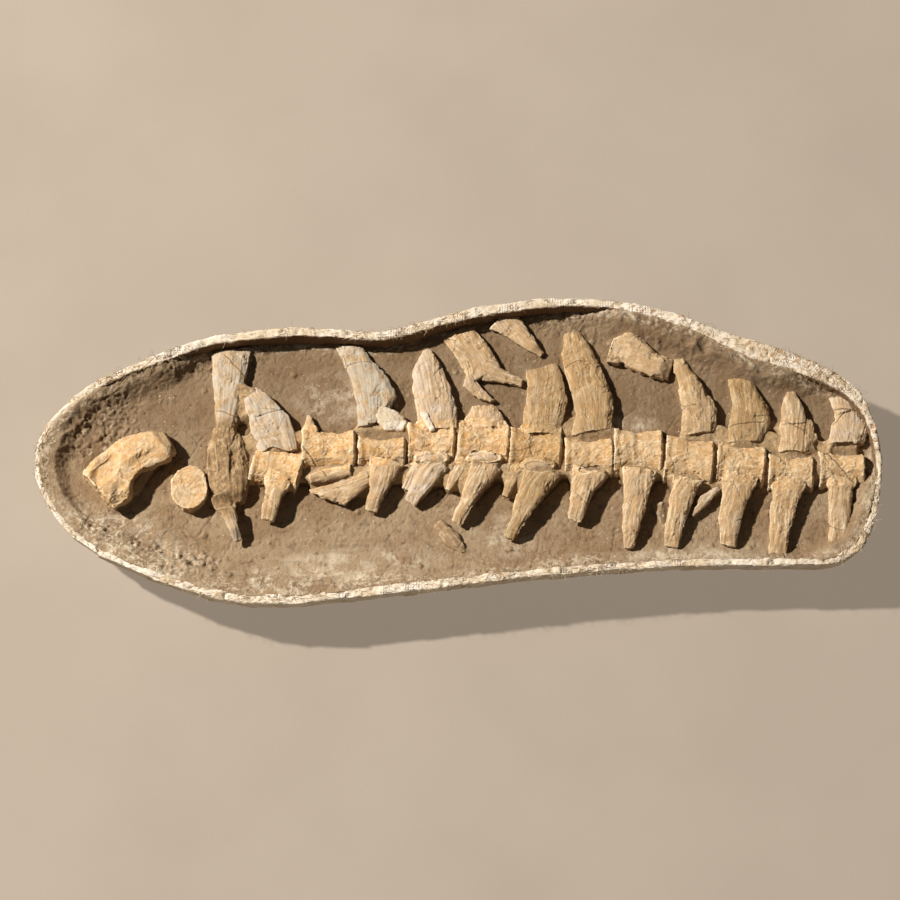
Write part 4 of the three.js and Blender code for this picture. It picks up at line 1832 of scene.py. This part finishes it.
@dataclass
class Studio:
    """Camera, lights and floor."""

    elevation: float = 68.0
    distance: float = 4387.0
    lens: float = 135.0
    aim_height: float = 85.0
    sensor: float = 36.0
    picture: float = 900.0  # the picture's width and height, in pixels
    aim_pixel: tuple[float, float] = (458.0, 452.0)  # where the aim point shows on it
    key_elevation: float = 44.0
    key_side: float = 162.0  # degrees from +x to where the key light stands, anticlockwise from above
    key_distance: float = 6.5  # metres
    key_width: float = 2.4  # degrees across, seen from the specimen
    key_strength: float = 6.2
    key_colour: tuple[float, float, float] = (1.0, 0.965, 0.915)
    fill_strength: float = 0.09
    fill_colour: Colour = (1.0, 0.95, 0.9, 1.0)
    floor_width: float = 14.0  # metres
    floor_drop: float = 0.0005  # metres from the jacket's underside down to the floor

    def camera(self) -> None:
        """Stands the camera in front of the jacket, looking down on it."""
        angle = math.radians(self.elevation)
        back = Vector((0.0, -math.cos(angle), math.sin(angle)))
        aim = Vector((0.0, -PLAN_MIDDLE_Y, self.aim_height)) * MM
        data = bpy.data.cameras.new("camera")
        data.lens = self.lens
        data.sensor_width = self.sensor
        data.shift_x = (self.picture / 2 - self.aim_pixel[0]) / self.picture
        data.shift_y = (self.aim_pixel[1] - self.picture / 2) / self.picture
        camera = linked("camera", data)
        camera.location = aim + back * self.distance * MM
        camera.rotation_euler = (-back).to_track_quat("-Z", "Y").to_euler()
        bpy.context.scene.camera = camera

    def lights(self) -> None:
        """Sets a crisp key light at the upper left and soft light all round."""
        rise, side = math.radians(self.key_elevation), math.radians(self.key_side)
        key_from = Vector((math.cos(side) * math.cos(rise), math.sin(side) * math.cos(rise), math.sin(rise)))
        data = bpy.data.lights.new("key", "POINT")
        data.energy = self.key_strength * 4.0 * math.pi * self.key_distance**2
        data.shadow_soft_size = self.key_distance * math.tan(math.radians(self.key_width / 2))
        data.color = self.key_colour
        linked("key", data).location = key_from * self.key_distance
        world = bpy.data.worlds.new("soft_light")
        world.use_nodes = True
        sky = world.node_tree.nodes["Background"]
        sky.inputs["Color"].default_value = self.fill_colour
        sky.inputs["Strength"].default_value = self.fill_strength
        bpy.context.scene.world = world
        bpy.context.scene.view_settings.view_transform = "Standard"

    def floor(self) -> None:
        """Lays the floor under the jacket."""
        bpy.ops.mesh.primitive_plane_add(size=self.floor_width, location=(0.0, 0.0, -self.floor_drop))
        floor = bpy.context.object
        floor.name = "floor"
        floor.data.materials.append(FloorFinish().material())


def main() -> None:
    """Builds the studio and then the specimen, from the bones out to the jacket."""
    logging.basicConfig(level=logging.INFO, format="%(name)s %(message)s")
    studio = Studio()
    studio.camera()
    studio.lights()
    studio.floor()
    Backbone().build()
    MatrixBed().build()
    plaster = PlasterFinish().material()
    jacket = FieldJacket()
    jacket.build(plaster)
    PlasterDabs().build(plaster)
    LooseFibres().build(jacket.rim_points)


if __name__ == "__main__":
    main()
